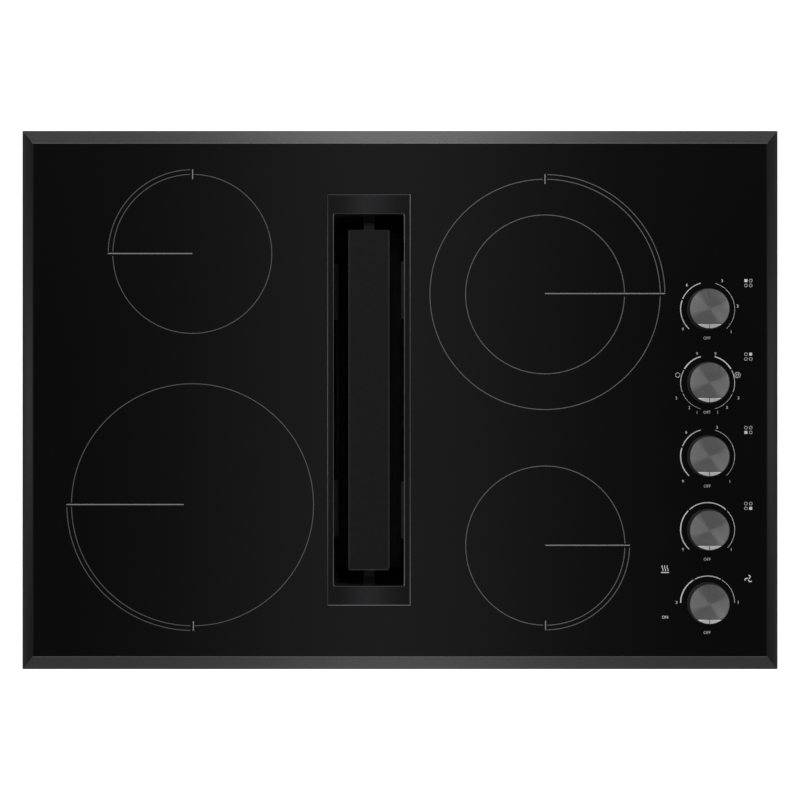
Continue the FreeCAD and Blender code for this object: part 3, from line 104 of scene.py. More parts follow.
def colour(name, about, value):
    return FloatVectorProperty(name=name, description=about, default=value, size=3, min=0, max=1,
                               subtype="COLOR")


class CooktopPrints(PropertyGroup):
    """Sizes of what is printed on the glass."""
    ink: size("Ink", "Height of the print above the glass", 0.06)
    ring_line: size("Ring line", "Width of the rings that mark the heated zones", 0.75)
    mark_line: size("Mark line", "Width of the straight marks on the zones", 1.1)
    pan_margin: size("Pan margin", "From a zone's ring out to the rim of its pan", 9.0)
    inner_ring: size("Inner ring", "Radius of the inner circuit's ring on the double zone", 82.3)
    arc_step: size("Arc step", "From a zone's ring out to its quarter arc", 4.85)
    tick: size("Tick", "Length of the mark across each ring", 10.0)
    line_break: size("Line break", "From the middle of a mark to where the rings start beside it", 2.25)
    dial: size("Dial", "Radius of the arcs round a knob", 28.0)
    dial_break: size("Dial break", "Clear space between two stretches of a dial's arc", 1.8)
    label: size("Label", "Height of the numbers and words", 3.0)
    icon_pitch: size("Icon pitch", "Spacing of the four squares that say which zone a knob sets", 4.95)
    icon_square: size("Icon square", "Width of one of those squares", 3.1)
    icon_line: size("Icon line", "Line width of an open square", 0.35)
    circuit_out: size("Circuit out", "From a knob's axis sideways to the sign of its circuit", 31.0)
    circuit_up: size("Circuit up", "From a knob's axis up to the sign of its circuit", 8.0)
    circuit_line: size("Circuit line", "Line width of that sign's rings", 0.4)
    blade_start: size("Blade start", "From the middle of the fan's sign to the foot of a blade", 0.5)
    blade_reach: size("Blade reach", "How far a blade of the fan's sign runs outward", 3.2)
    blade_line: size("Blade line", "Width of a blade at its ends", 0.75)
    blade_swell: size("Blade swell", "What a blade gains in width at its middle", 0.45)
    bar_length: size("Bar length", "Length of the bar under the heat waves", 8.4)
    bar_width: size("Bar width", "Width of that bar", 1.0)
    bar_drop: size("Bar drop", "From the lamp's axis down to the bar", 3.4)
    wave_foot: size("Wave foot", "From the lamp's axis down to the foot of the heat waves", 2.0)
    wave_height: size("Wave height", "Height of the heat waves", 6.0)
    wave_swing: size("Wave swing", "Swing of the heat waves to either side", 0.6)
    wave_pitch: size("Wave pitch", "Spacing of the heat waves", 2.6)
    wave_line: size("Wave line", "Width of the heat waves", 0.8)


class CooktopMetalwork(PropertyGroup):
    """Sizes of the trim, the vent and the small metal parts."""
    bevel_width: size("Bevel width", "From the outer edge of the left and right rails to the glass", 12.0)
    long_bevel: size("Long bevel", "From the outer edge of the front and rear rails to the glass", 13.7)
    lip: size("Lip", "Upright edge at the foot of the slope", 1.1)
    shelf: size("Shelf", "Thickness of the ledge that carries the glass", 1.5)
    side_land: size("Side land", "Level strip beside the glass on the left and right rails", 0.95)
    long_land: size("Long land", "Level strip beside the glass on the front and rear rails", 0.15)
    soft_edge: size("Soft edge", "Radius of the trim's edges", 0.45)
    side_bow: size("Side bow", "How far the slope of the left and right rails bows out in its middle", 0.25)
    long_bow: size("Long bow", "How far the slope of the front and rear rails bows out in its middle", 0.03)
    mitre_gap: size("Mitre gap", "Seam between two rails at a corner", 0.12)
    vent_side: size("Vent side", "Width of the vent's trim along its sides", 6.1)
    vent_end: size("Vent end", "Width of the vent's trim at its ends", 20.2)
    vent_wall: size("Vent wall", "Thickness of the wall that goes down through the glass", 1.2)
    side_roll: size("Side roll", "How far the slot's long edges roll in past its wall", 0.6)
    end_roll: size("End roll", "How far the slot's short edges roll in past its wall", 0.2)
    vent_corner: size("Vent corner", "Corner radius of the slot", 2.4)
    cover_corner: size("Cover corner", "Corner radius of the lid", 1.6)
    cover_sheet: size("Cover sheet", "Thickness of the lid's metal", 1.2)
    cover_skirt: size("Cover skirt", "Depth of the lid's folded edges", 9.0)
    cover_hem: size("Cover hem", "Chamfer on the lower rim of those edges", 0.2)
    # Painted highlight: width of the lighter lines along the vent trim's edges
    highlight_line: size("Worn line", "Width of the worn edges of the vent's trim", 0.75)
    # Painted highlight: width of the lighter lines along the lid's edges
    lid_highlight_line: size("Lid line", "Width of the worn edges of the vent's lid", 0.55)
    # Painted highlight: how far down the trim's slope its lighter inner edge reaches
    highlight_rise: size("Rubbed rise", "How far down the trim's slope its inner edge is rubbed", 0.3)
    ledge_width: size("Ledge width", "Width of the ledge that a foot stands on", 12.0)
    ledge_reach: size("Ledge reach", "How far the ledge stands out into the slot", 14.0)
    ledge_gap: size("Ledge gap", "Clear space under a foot", 0.3)
    foot_width: size("Foot width", "Width of the lid's feet", 10.4)
    foot_reach: size("Foot reach", "How far a foot stands out past the lid", 7.6)
    foot_sheet: size("Foot sheet", "Thickness of a foot", 2.0)
    foot_bend: size("Foot bend", "Rounding of a foot's bends", 0.3)
    # Where the painted shade inside the chamber begins
    duct_foot: size("Duct foot", "From the chamber's lowest point up to where its inside is blackened", 7.0)
    duct_sheet: size("Duct sheet", "Thickness of the chamber's sheet", 1.0)
    sheet_edge: size("Sheet edge", "Rounding of cut sheet edges", 0.22)
    can_edge: size("Can edge", "Rounding of the capacitor's rolled edges", 0.6)
    strand: size("Strand", "Width of a strand in the filter's mesh", 1.1)
    strand_pitch: size("Strand pitch", "Spacing of the strands along the filter", 6.5)
    layer_pitch: size("Layer pitch", "Spacing of the layers of strands", 1.3)
    filter_width: size("Filter width", "Width of the filter's mesh across the duct", 84.0)
    filter_length: size("Filter length", "Length of the filter's mesh", 338.0)
    filter_tilt: FloatProperty(name="Filter tilt", description="Slope of the filter in the duct",
                               default=math.radians(52), subtype="ANGLE")


class CooktopScrews(PropertyGroup):
    """Sizes of the sheet-metal screws and the clamp screws."""
    washer: size("Washer", "Thickness of the round washer under a screw's head", 0.45)
    head: size("Head", "Height of a screw's head with its washer", 2.2)
    dome: size("Dome", "Height of the dome on a screw's head", 0.35)
    edge: size("Edge", "Rounding of the head and the washer", 0.05)
    tip: size("Tip", "Length of a screw's point", 0.8)
    clamp_head: size("Clamp head", "Height of a clamp screw's head", 4.0)
    clamp_head_r: size("Clamp head radius", "Corner radius of a clamp screw's head", 6.0)
    clamp_edge: size("Clamp edge", "Chamfer on a clamp screw's head", 0.4)
    clamp_r: size("Clamp radius", "Outer radius of the clamp screws' thread", 3.0)
    thread_pitch: size("Thread pitch", "Pitch of the clamp screws' thread", 1.25)
    thread_depth: size("Thread depth", "Depth of the clamp screws' thread", 0.55)
    point: size("Point", "Length of the clamp screws' plain point", 8.0)
    point_r: size("Point radius", "Radius of the clamp screws' plain point", 2.4)
    point_edge: size("Point edge", "Chamfer on the clamp screws' point", 0.45)


class CooktopKnobs(PropertyGroup):
    """Sizes of the knobs."""
    wall: size("Wall", "Thickness of the knob's wall", 2.2)
    roof: size("Roof", "Thickness under the metal cap", 3.0)
    hub: size("Hub", "Radius of the hub", 6.5)
    hub_rise: size("Hub rise", "From the knob's rim up to the hub", 2.0)
    bore: size("Bore", "Radius of the bore for the shaft", 3.05)
    edge: size("Edge", "Rounding of the rim", 0.5)
    waist: size("Waist", "How far the drum draws in between its foot and the cap", 0.4)
    bead: size("Bead", "Height of the foot bead", 1.4)
    chord: size("Chord", "From the knob's axis to the slope on its cap", 15.9)
    chord_line: size("Chord line", "Width of the line along the slope", 0.7)
    line: size("Line", "Width of the pointer's line", 0.6)
    rim_start: size("Rim start", "Radius where the cap's dark edge starts", 20.05)
    cap_edge: size("Cap edge", "Rounding of the metal cap", 0.12)
    # Painted light on the caps: their light and dark sectors are painted highlight and painted shade, and
    # their dimming toward the front and the rear is painted shade
    sheen_middle: size("Sheen middle", "Radius within which the cap's sectors fade out", 4.0)
    dim_along: size("Dim along", "How slowly the cap dims toward the front and the rear", 34.0)
    dim_across: size("Dim across", "How slowly the cap brightens toward its left and right", 50.0)
    sheen_tilt: FloatProperty(name="Sheen tilt", description="Turn of the light sectors on the cap",
                              default=math.radians(16), subtype="ANGLE")
    around: IntProperty(name="Around", description="Points round a full turn of the drum", default=96, min=24,
                        max=256)


class CooktopColours(PropertyGroup):
    """Colours, as linear light."""
    glass: colour("Glass", "Ceramic glass", (0.0014, 0.0014, 0.0015))
    ink: colour("Ink", "Print on the glass", (0.83, 0.83, 0.83))
    mark_ink: colour("Mark ink", "Print of the straight marks on the zones", (0.26, 0.26, 0.26))
    faint_ink: colour("Faint ink", "Print of the rings", (0.17, 0.17, 0.17))
    trim: colour("Trim", "Bevelled trim", (0.006, 0.006, 0.0065))
    # Painted highlight on the inner edge of the front and rear rails
    trim_edge: colour("Trim edge", "Rubbed inner edge of the bevelled trim", (0.060, 0.060, 0.062))
    vent: colour("Vent", "Trim and lid of the vent", (0.0030, 0.0030, 0.0033))
    # Painted shade: the filter's dark colour stands in for the shade in the duct
    dark_metal: colour("Dark metal", "Blackened metal of the filter", (0.028, 0.028, 0.030))
    # Painted shade: dark grey inside of the duct
    duct_black: colour("Duct black", "Baked black inside of the duct", (0.10, 0.10, 0.10))
    # Painted highlight on the lid's long edges and front edge
    lid_edge_highlight: colour("Lid edge", "Worn edges of the vent's lid", (0.075, 0.075, 0.078))
    knob: colour("Knob", "Knob's drum", (0.006, 0.006, 0.006))
    # Painted highlight on the knob's foot bead
    bead: colour("Bead", "Rubbed foot of the knob's drum", (0.020, 0.020, 0.020))
    cap: colour("Cap", "Spun cap of a knob", (0.595, 0.595, 0.60))
    # Painted highlight on a cap's slope
    cap_slope: colour("Cap slope", "Polished slope of a cap", (0.83, 0.83, 0.82))
    # Painted shadow line along a cap's chord
    cap_line: colour("Cap line", "Dull line along a cap's slope", (0.30, 0.30, 0.30))
    # Painted shade at a cap's rim
    cap_rim: colour("Cap rim", "Dark edge of a cap", (0.05, 0.05, 0.05))
    pointer: colour("Pointer", "Dark line across a cap's slope", (0.02, 0.02, 0.02))
    zinc: colour("Zinc", "Zinc-coated sheet", (0.56, 0.58, 0.60))
    motor: colour("Motor", "Motor's enamel", (0.025, 0.026, 0.028))


class CooktopStage(PropertyGroup):
    """Camera, floor and light."""
    camera_height: size("Camera height", "From the countertop up to the camera", 4530.0)
    view_width: size("View width", "Width that the picture spans at the glass", 829.0)
    floor_gap: size("Floor gap", "From the lowest point down to the floor", 15.0)
    floor_width: size("Floor width", "Width of the floor", 16000.0)
    floor_depth: size("Floor depth", "Thickness of the floor", 10.0)
    floor_level: colour("Floor", "Pale floor", (0.86, 0.86, 0.86))


def settings(name):
    return getattr(bpy.context.scene, "cooktop_" + name)


def grey(level):
    return (level, level, level, 1)


def opaque(value):
    return (*value, 1)


def footprint(node):
    """Middle of a node's box and half its width, each in X and Y."""
    low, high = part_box(node)
    return (low.x + high.x) / 2, (low.y + high.y) / 2, (high.x - low.x) / 2, (high.y - low.y) / 2


# Surfaces
def turned_out(vertices, faces):
    """Faces reversed if the volume they enclose, summed over fans of triangles, is negative."""
    total = 0.0
    by_count = {}
    for face in faces:
        by_count.setdefault(len(face), []).append(face)
    for count, group in by_count.items():
        corners = vertices[np.array(group)]
        for k in range(1, count - 1):
            total += np.einsum("ij,ij->", corners[:, 0], np.cross(corners[:, k], corners[:, k + 1]))
    if total < 0:
        faces = [face[::-1] for face in faces]
    return vertices, faces


def loft(rings, closed=False):
    """Rings of points joined by quads: a face spans one step along the rings and one step round them.
    Closed joins the last ring to the first; otherwise the two end rings are filled as flat caps."""
    rings = np.asarray(rings, float)
    count, around = rings.shape[:2]
    index = np.arange(count * around).reshape(count, around)
    here = index if closed else index[:-1]
    after = np.roll(index, -1, axis=0) if closed else index[1:]
    quads = np.stack([here, np.roll(here, -1, axis=1), np.roll(after, -1, axis=1), after], axis=-1)
    faces = quads.reshape(-1, 4).tolist()
    if not closed:
        faces += [index[0][::-1].tolist(), index[-1].tolist()]
    return turned_out(rings.reshape(-1, 3), faces)


def together(parts):
    """Several (vertices, faces) as one, with the later faces' indices moved up."""
    vertices = []
    faces = []
    start = 0
    for points, polygons in parts:
        vertices.append(points)
        faces += [[k + start for k in polygon] for polygon in polygons]
        start += len(points)
    return np.concatenate(vertices), faces


def soft_corners(points, radii, steps=4):
    """Closed outline with rounded corners: each corner gives way to a round stretch of the given radius,
    tangent to its two sides, drawn as a quadratic curve between the two tangent points."""
    points = np.asarray(points, float)
    outline = []
    for k, corner in enumerate(points):
        before = points[k - 1] - corner
        after = points[(k + 1) % len(points)] - corner
        before_unit = before / np.linalg.norm(before)
        after_unit = after / np.linalg.norm(after)
        half = math.acos(np.clip(before_unit @ after_unit, -1, 1)) / 2
        reach = radii[k] / math.tan(half)
        t = np.linspace(0, 1, steps + 1)[:, None]
        start = corner + before_unit * reach
        end = corner + after_unit * reach
        outline.append((1 - t) ** 2 * start + 2 * t * (1 - t) * corner + t ** 2 * end)
    return np.concatenate(outline)


def rounded_rectangle(x, y, half_x, half_y, corner, z, steps=5):
    """Level outline: quarter circles about the four corner centres, joined by the straight sides."""
    quarter = np.linspace(0, math.pi / 2, steps + 1)
    ring = []
    for turn, (side_x, side_y) in enumerate(((1, 1), (-1, 1), (-1, -1), (1, -1))):
        angle = quarter + turn * math.pi / 2
        px = x + side_x * (half_x - corner) + corner * np.cos(angle)
        py = y + side_y * (half_y - corner) + corner * np.sin(angle)
        ring.append(np.stack([px, py, np.full_like(px, z)], axis=-1))
    return np.concatenate(ring)


def lathe(profile, x, y, around):
    """Profile of (radius, height) turned about the upright axis through a point: X and Y are the radius times
    the cosine and the sine of the angle."""
    profile = np.asarray(profile, float)
    angle = np.arange(around) * FULL_TURN / around
    across = x + profile[:, :1] * np.cos(angle)
    along = y + profile[:, :1] * np.sin(angle)
    up = np.broadcast_to(profile[:, 1:], across.shape)
    return np.stack([across, along, up], axis=-1)


def band(path, widths, low, high, closed=False):
    """Flat strip of print: a rectangle from low to high, carried along a level path. Its half width is set
    off to either side at each point, square to the path."""
    path = np.asarray(path, float)
    widths = np.broadcast_to(np.asarray(widths, float), len(path))[:, None]
    if closed:
        way = np.roll(path, -1, axis=0) - np.roll(path, 1, axis=0)
    else:
        way = np.gradient(path, axis=0)
    way = way / np.linalg.norm(way, axis=1, keepdims=True)
    side = np.stack([-way[:, 1], way[:, 0]], axis=-1) * widths / 2
    left = path + side
    right = path - side
    corners = [(left, high), (right, high), (right, low), (left, low)]
    rings = [np.column_stack([points, np.full(len(points), z)]) for points, z in corners]
    return loft(np.stack(rings, axis=1), closed)


def arc_path(x, y, r, start, end, step=1.5):
    """Points on a circle from one angle to the other, in degrees: the centre plus the radius times the cosine
    and the sine of the angle."""
    count = max(2, int(abs(end - start) / step) + 1)
    angle = np.radians(np.linspace(start, end, count))
    return np.stack([x + r * np.cos(angle), y + r * np.sin(angle)], axis=-1)


def tile(outline, low, high):
    """Thin tile: the same level outline at its low and its high side."""
    rings = [np.column_stack([outline, np.full(len(outline), z)]) for z in (low, high)]
    return loft(np.stack(rings))


def writing(text, height, x, y, low, high):
    """Capitals or digits as a mesh, centred on a point, scaled so that a capital has the given height."""
    font = bpy.data.curves.new("writing", "FONT")
    font.body = text
    font.align_x = "CENTER"
    font.extrude = 0.5
    font.offset = 0.005
    font.resolution_u = 3
    holder = bpy.data.objects.new("writing", font)
    bpy.context.scene.collection.objects.link(holder)
    mesh = bpy.data.meshes.new_from_object(holder.evaluated_get(bpy.context.evaluated_depsgraph_get()))
    points = np.empty(len(mesh.vertices) * 3)
    mesh.vertices.foreach_get("co", points)
    points = points.reshape(-1, 3)
    faces = [list(polygon.vertices) for polygon in mesh.polygons]
    bpy.data.objects.remove(holder)
    bpy.data.curves.remove(font)
    bpy.data.meshes.remove(mesh)
    lowest = points.min(axis=0)
    highest = points.max(axis=0)
    scale = height / (highest[1] - lowest[1])
    middle = (lowest + highest) / 2
    points = (points - middle) * [scale, scale, 0] + [x, y, 0] + np.stack(
        [np.zeros(len(points)), np.zeros(len(points)), np.where(points[:, 2] > 0, high, low)], axis=-1)
    return points, faces


# Pieces
def piece(name, part, finish, body="cooktop", stands_for=(), smooth=32):
    """A new object from vertices and faces, riding on its body."""
    vertices, faces = part
    mesh = bpy.data.meshes.new(name)
    mesh.from_pydata(vertices.tolist(), [], faces)
    mesh.polygons.foreach_set("use_smooth", [True] * len(mesh.polygons))
    mesh.set_sharp_from_angle(angle=math.radians(smooth))
    mesh.materials.append(finish)
    made = bpy.data.objects.new(name, mesh)
    bpy.context.scene.collection.objects.link(made)
    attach(made, body)
    if stands_for:
        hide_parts(*stands_for)
    return made


def softened_copy(node, finish, width):
    """A copy of a node with its doubled points merged and its edges rounded, standing for that node."""
    source = frame["nodes"][node]
    shape = bmesh.new()
    shape.from_mesh(source.data)
    bmesh.ops.remove_doubles(shape, verts=shape.verts, dist=MERGE)
    mesh = bpy.data.meshes.new(node + "_soft")
    shape.to_mesh(mesh)
    shape.free()
    mesh.polygons.foreach_set("use_smooth", [True] * len(mesh.polygons))
    mesh.set_sharp_from_angle(angle=CREASE)
    mesh.materials.clear()
    mesh.materials.append(finish)
    made = bpy.data.objects.new(node + "_soft", mesh)
    bpy.context.scene.collection.objects.link(made)
    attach(made, source["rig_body"])
    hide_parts(node)
    bevel = made.modifiers.new("soft edges", "BEVEL")
    bevel.width = width
    bevel.segments = 2
    bevel.limit_method = "ANGLE"
    bevel.angle_limit = ROUNDED_FROM
    bevel.harden_normals = True
    return made


def finish_node(node, finish):
    """A node that keeps its own shape gets its finish."""
    mesh = frame["nodes"][node].data
    mesh.materials.clear()
    mesh.materials.append(finish)


def solids_of(node):
    """Points of each separate solid in a node."""
    shape = bmesh.new()
    shape.from_mesh(frame["nodes"][node].data)
    bmesh.ops.remove_doubles(shape, verts=shape.verts, dist=MERGE)
    waiting = set(shape.verts)
    found = []
    while waiting:
        edge = [waiting.pop()]
        points = []
        while edge:
            vertex = edge.pop()
            points.append(tuple(vertex.co))
            near = {link.other_vert(vertex) for link in vertex.link_edges} & waiting
            waiting -= near
            edge += near
        found.append(np.array(points))
    shape.free()
    return sorted(found, key=lambda points: tuple(points.mean(axis=0).round(4)))


# Finishes
def feed(tree, socket, value):
    """A socket gets a link from another node, or a plain value."""
    if isinstance(value, bpy.types.NodeSocket):
        tree.links.new(value, socket)
    else:
        socket.default_value = value


def calc(tree, operation, a, b=0.0):
    """Result of one Math node."""
    made = tree.nodes.new("ShaderNodeMath")
    made.operation = operation
    for socket, value in zip(made.inputs, (a, b)):
        feed(tree, socket, value)
    return made.outputs[0]


class Finish:
    """A material being built: its tree, its shader and the object's own coordinates."""

    def __init__(self, name, base, roughness, metallic=0.0, specular=0.5):
        self.material = bpy.data.materials.new(name)
        self.material.use_nodes = True
        self.tree = self.material.node_tree
        self.shader = self.tree.nodes["Principled BSDF"]
        self.set("Base Color", opaque(base))
        self.set("Roughness", roughness)
        self.set("Metallic", metallic)
        self.set("Specular IOR Level", specular)
        self.base = base
        self.place = self.node("ShaderNodeTexCoord").outputs["Object"]

    def set(self, socket, value):
        feed(self.tree, self.shader.inputs[socket], value)

    def node(self, kind, inputs=(), **options):
        made = self.tree.nodes.new(kind)
        for name, value in options.items():
            setattr(made, name, value)
        for name, value in dict(inputs).items():
            feed(self.tree, made.inputs[name], value)
        return made

    def moved(self, location=(0, 0, 0), scale=(1, 1, 1)):
        mapping = {"Vector": self.place, "Location": location, "Scale": scale}
        return self.node("ShaderNodeMapping", mapping).outputs["Vector"]

    def noise(self, scale, detail=3.0, stretch=(1, 1, 1), rough=0.5):
        where = self.place if stretch == (1, 1, 1) else self.moved(scale=stretch)
        return self.node("ShaderNodeTexNoise", {"Vector": where, "Scale": scale, "Detail": detail,
                                                "Roughness": rough}).outputs["Fac"]

    def cells(self, scale):
        return self.node("ShaderNodeTexVoronoi", {"Vector": self.place, "Scale": scale})

    def span(self, value, low, high, from_low=0.0, from_high=1.0):
        """A value from one range to another, in proportion."""
        return self.node("ShaderNodeMapRange", {"Value": value, "From Min": from_low, "From Max": from_high,
                                                "To Min": low, "To Max": high}).outputs["Result"]

    def calc(self, operation, a, b=0.0):
        return calc(self.tree, operation, a, b)

    def plus(self, a, b):
        return self.calc("ADD", a, b)

    def times(self, a, b):
        return self.calc("MULTIPLY", a, b)

    def over(self, value, limit):
        """1 where the value lies over the limit, otherwise 0."""
        return self.calc("GREATER_THAN", value, limit)

    def under(self, value, limit):
        """1 where the value lies under the limit, otherwise 0."""
        return self.calc("LESS_THAN", value, limit)

    def blend(self, share, a, b):
        """Colour a where the share is 0, colour b where it is 1."""
        made = self.node("ShaderNodeMix", {"Factor": share}, data_type="RGBA")
        feed(self.tree, made.inputs[6], a)
        feed(self.tree, made.inputs[7], b)
        return made.outputs[2]

    def shade(self, share):
        """The base colour times a share."""
        return opaque(min(1.0, level * share) for level in self.base)

    def tones(self, value, dark, light):
        """Base colour that runs between two shares of itself."""
        self.set("Base Color", self.blend(value, self.shade(dark), self.shade(light)))

    def relief(self, height, strength, depth):
        """Fine bumps that follow a height."""
        made = self.node("ShaderNodeBump", {"Height": height, "Strength": strength, "Distance": depth})
        self.set("Normal", made.outputs["Normal"])

    def axes(self, where=None):
        """X, Y and Z of the place, each as a value."""
        parts = self.node("ShaderNodeSeparateXYZ", {"Vector": where or self.place})
        return [parts.outputs[k] for k in range(3)]


def made_once(maker):
    """Each finish is built once and shared by the pieces that wear it."""
    kept = {}

    def get(*arguments):
        if arguments not in kept:
            kept[arguments] = maker(*arguments)
        return kept[arguments]
    return get


@made_once
def ceramic_glass():
    """Black glass: deep colour, near-mirror gloss, faint polishing haze."""
    f = Finish("ceramic_glass", settings("colours").glass, 0.05)
    f.set("IOR", 1.5)
    f.set("Roughness", f.span(f.noise(9, 4), 0.035, 0.075))
    f.relief(f.noise(28, 2), 0.015, 0.2 * MM)
    return f.material


@made_once
def printed_ink(name):
    """Fired enamel print, slightly grainy; the faint one is darker toward the left."""
    f = Finish(name, getattr(settings("colours"), name), 0.55)
    if name == "faint_ink":
        # The faint ink is darker toward the left
        share = f.span(f.axes()[0], 0.62, 0.86, -215 * MM, 150 * MM)
        f.set("Base Color", f.blend(share, grey(0), f.shade(1)))
    else:
        f.tones(f.noise(2600, 2), 0.85, 1.12)
    f.relief(f.noise(3000, 1), 0.2, 0.02 * MM)
    return f.material


@made_once
def black_trim(along):
    """Black anodised metal, brushed along the rail; the front and rear rails carry a painted highlight, a
    lighter line at the top of their slope."""
    f = Finish("black_trim_" + along, settings("colours").trim, 0.3, 0.0, 0.65)
    stretch = (2.0, 160.0, 160.0) if along == "x" else (160.0, 2.0, 160.0)
    grain = f.noise(14, 4, stretch, 0.65)
    broad = f.noise(6, 2)
    base = f.blend(f.times(f.plus(grain, broad), 0.5), f.shade(0.7), f.shade(1.35))
    if along == "x":
        # Painted highlight: a lighter line at the top of the front and rear rails' slope
        highlighted = f.over(f.axes()[2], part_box("trim_front")[1].z - settings("metalwork").highlight_rise)
        base = f.blend(highlighted, base, opaque(settings("colours").trim_edge))
    f.set("Base Color", base)
    f.set("Roughness", f.span(grain, 0.18, 0.26))
    f.relief(grain, 0.10, 0.05 * MM)
    return f.material


@made_once
def vent_plate(x, half_x, half_y, slot_x, slot_y, line):
    """Powder coat with a painted sheen that falls off along X from the middle of the end panels. A painted
    highlight runs in a thin line along its outer and its inner edge, by an amount that runs with the square
    of the place along it."""
    f = Finish("vent_plate", settings("colours").vent, 0.3, 0.0, 0.5)
    across, along, up = f.axes()
    off = f.calc("SUBTRACT", across, x)
    wide = f.calc("ABSOLUTE", off)
    long = f.calc("ABSOLUTE", along)
    # Level of the painted edge highlight halfway along each line and at its ends
    glint_levels = {"outer left": (0.13, 0.04), "inner left": (0.05, 0.15), "inner right": (0.09, 0.20),
            "outer right": (0.08, 0.20)}
    place = f.calc("POWER", f.calc("DIVIDE", long, half_y), 2.0)
    levels = {side: f.blend(place, grey(middle), grey(end)) for side, (middle, end) in glint_levels.items()}
    left = f.under(off, 0.0)
    outer_side = f.over(wide, half_x - line)
    inner_side = f.times(f.under(wide, slot_x + line), f.under(long, slot_y + line))
    outer_end = f.over(long, half_y - line)
    inner_end = f.times(inner_side, f.over(long, slot_y - line))
    # Painted highlight: thin lighter lines along the outer and the inner edges, on the top only
    lit = f.blend(left, levels["inner right"], levels["inner left"])
    lit = f.blend(inner_end, lit, grey(0.035))
    lit = f.blend(outer_end, lit, f.span(along, 0.22, 0.04, -half_y, half_y))
    lit = f.blend(outer_side, lit, f.blend(left, levels["outer right"], levels["outer left"]))
    panel = f.over(long, slot_y + line)
    # Painted sheen: the end panels are lighter toward their middle along X
    near = f.calc("POWER", f.calc("DIVIDE", off, half_x / 2), 2.0)
    sheen = f.times(panel, f.calc("POWER", math.e, f.times(near, -1.0)))
    base = f.blend(sheen, opaque(f.base), f.shade(8))
    base = f.blend(f.times(f.noise(35, 4), 0.4), base, f.shade(1.6))
    top = f.over(up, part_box("glass_top")[1].z)
    edges = f.times(f.calc("MAXIMUM", f.calc("MAXIMUM", outer_side, outer_end), inner_side), top)
    f.set("Base Color", f.blend(edges, base, lit))
    f.set("Roughness", f.span(f.noise(220, 3), 0.24, 0.34))
    f.relief(f.noise(1400, 2), 0.15, 0.03 * MM)
    return f.material


@made_once
def lid_coat(x, half_x, half_y, low, line):
    """Powder coat of the lid, with a painted highlight in a thin line along its long edges and its front
    edge;
    the feet past its ends are painted a little lighter as a highlight."""
    f = Finish("lid_coat", settings("colours").vent, 0.42, 0.0, 0.42)
    across, along, up = f.axes()
    wide = f.calc("ABSOLUTE", f.calc("SUBTRACT", across, x))
    sides = f.over(wide, half_x - line)
    front = f.under(along, line - half_y)
    top = f.over(up, low)
    feet = f.over(f.calc("ABSOLUTE", along), half_y)
    base = f.blend(f.noise(40, 4), f.shade(0.8), f.shade(1.3))
    # Painted highlight: the feet are lighter
    base = f.blend(feet, base, f.shade(2))
    # Painted highlight: thin lighter lines along the long edges and the front edge
    lit = f.times(f.calc("MAXIMUM", f.times(sides, 0.76), front), f.calc("SUBTRACT", top, feet))
    f.set("Base Color", f.blend(lit, base, opaque(settings("colours").lid_edge_highlight)))
    f.set("Roughness", f.span(f.noise(220, 3), 0.36, 0.5))
    f.relief(f.noise(1400, 2), 0.25, 0.03 * MM)
    return f.material


@made_once
def dull_black():
    """Matte black paint in the slot, where little light falls."""
    f = Finish("dull_black", settings("colours").vent, 0.55, 0.0, 0.35)
    f.tones(f.noise(60, 4), 0.7, 1.4)
    f.relief(f.noise(900, 2), 0.2, 0.04 * MM)
    return f.material


@made_once
def dark_metal(name):
    """Dark metal of the filter, kept dark as painted shade of the duct: dull, with a trace of grease and
    scuffed spots.
    """
    # Painted shade: the dark colour stands for the shade in the duct; the tone noise is random
    f = Finish("dark_metal_" + name, settings("colours").dark_metal, 0.5, 0.4)
    f.tones(f.noise(80, 5), 0.6, 1.9)
    f.set("Roughness", f.span(f.noise(50, 4), 0.38, 0.62))
    f.relief(f.noise(600, 3), 0.15, 0.04 * MM)
    return f.material


@made_once
def knob_plastic():
    """Moulded black plastic with a soft sheen; its foot bead is painted lighter as a highlight."""
    colours = settings("colours")
    f = Finish("knob_plastic", colours.knob, 0.5, 0.0, 0.3)
    # Painted highlight: the foot bead is lighter
    foot = f.under(f.axes()[2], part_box("knob_fan")[0].z + settings("knobs").bead + 0.05 * MM)
    mottled = f.blend(f.noise(120, 3), f.shade(0.8), f.shade(1.25))
    f.set("Base Color", f.blend(foot, mottled, opaque(colours.bead)))
    f.set("Roughness", f.span(f.noise(260, 3), 0.42, 0.56))
    f.relief(f.noise(1700, 2), 0.12, 0.03 * MM)
    return f.material


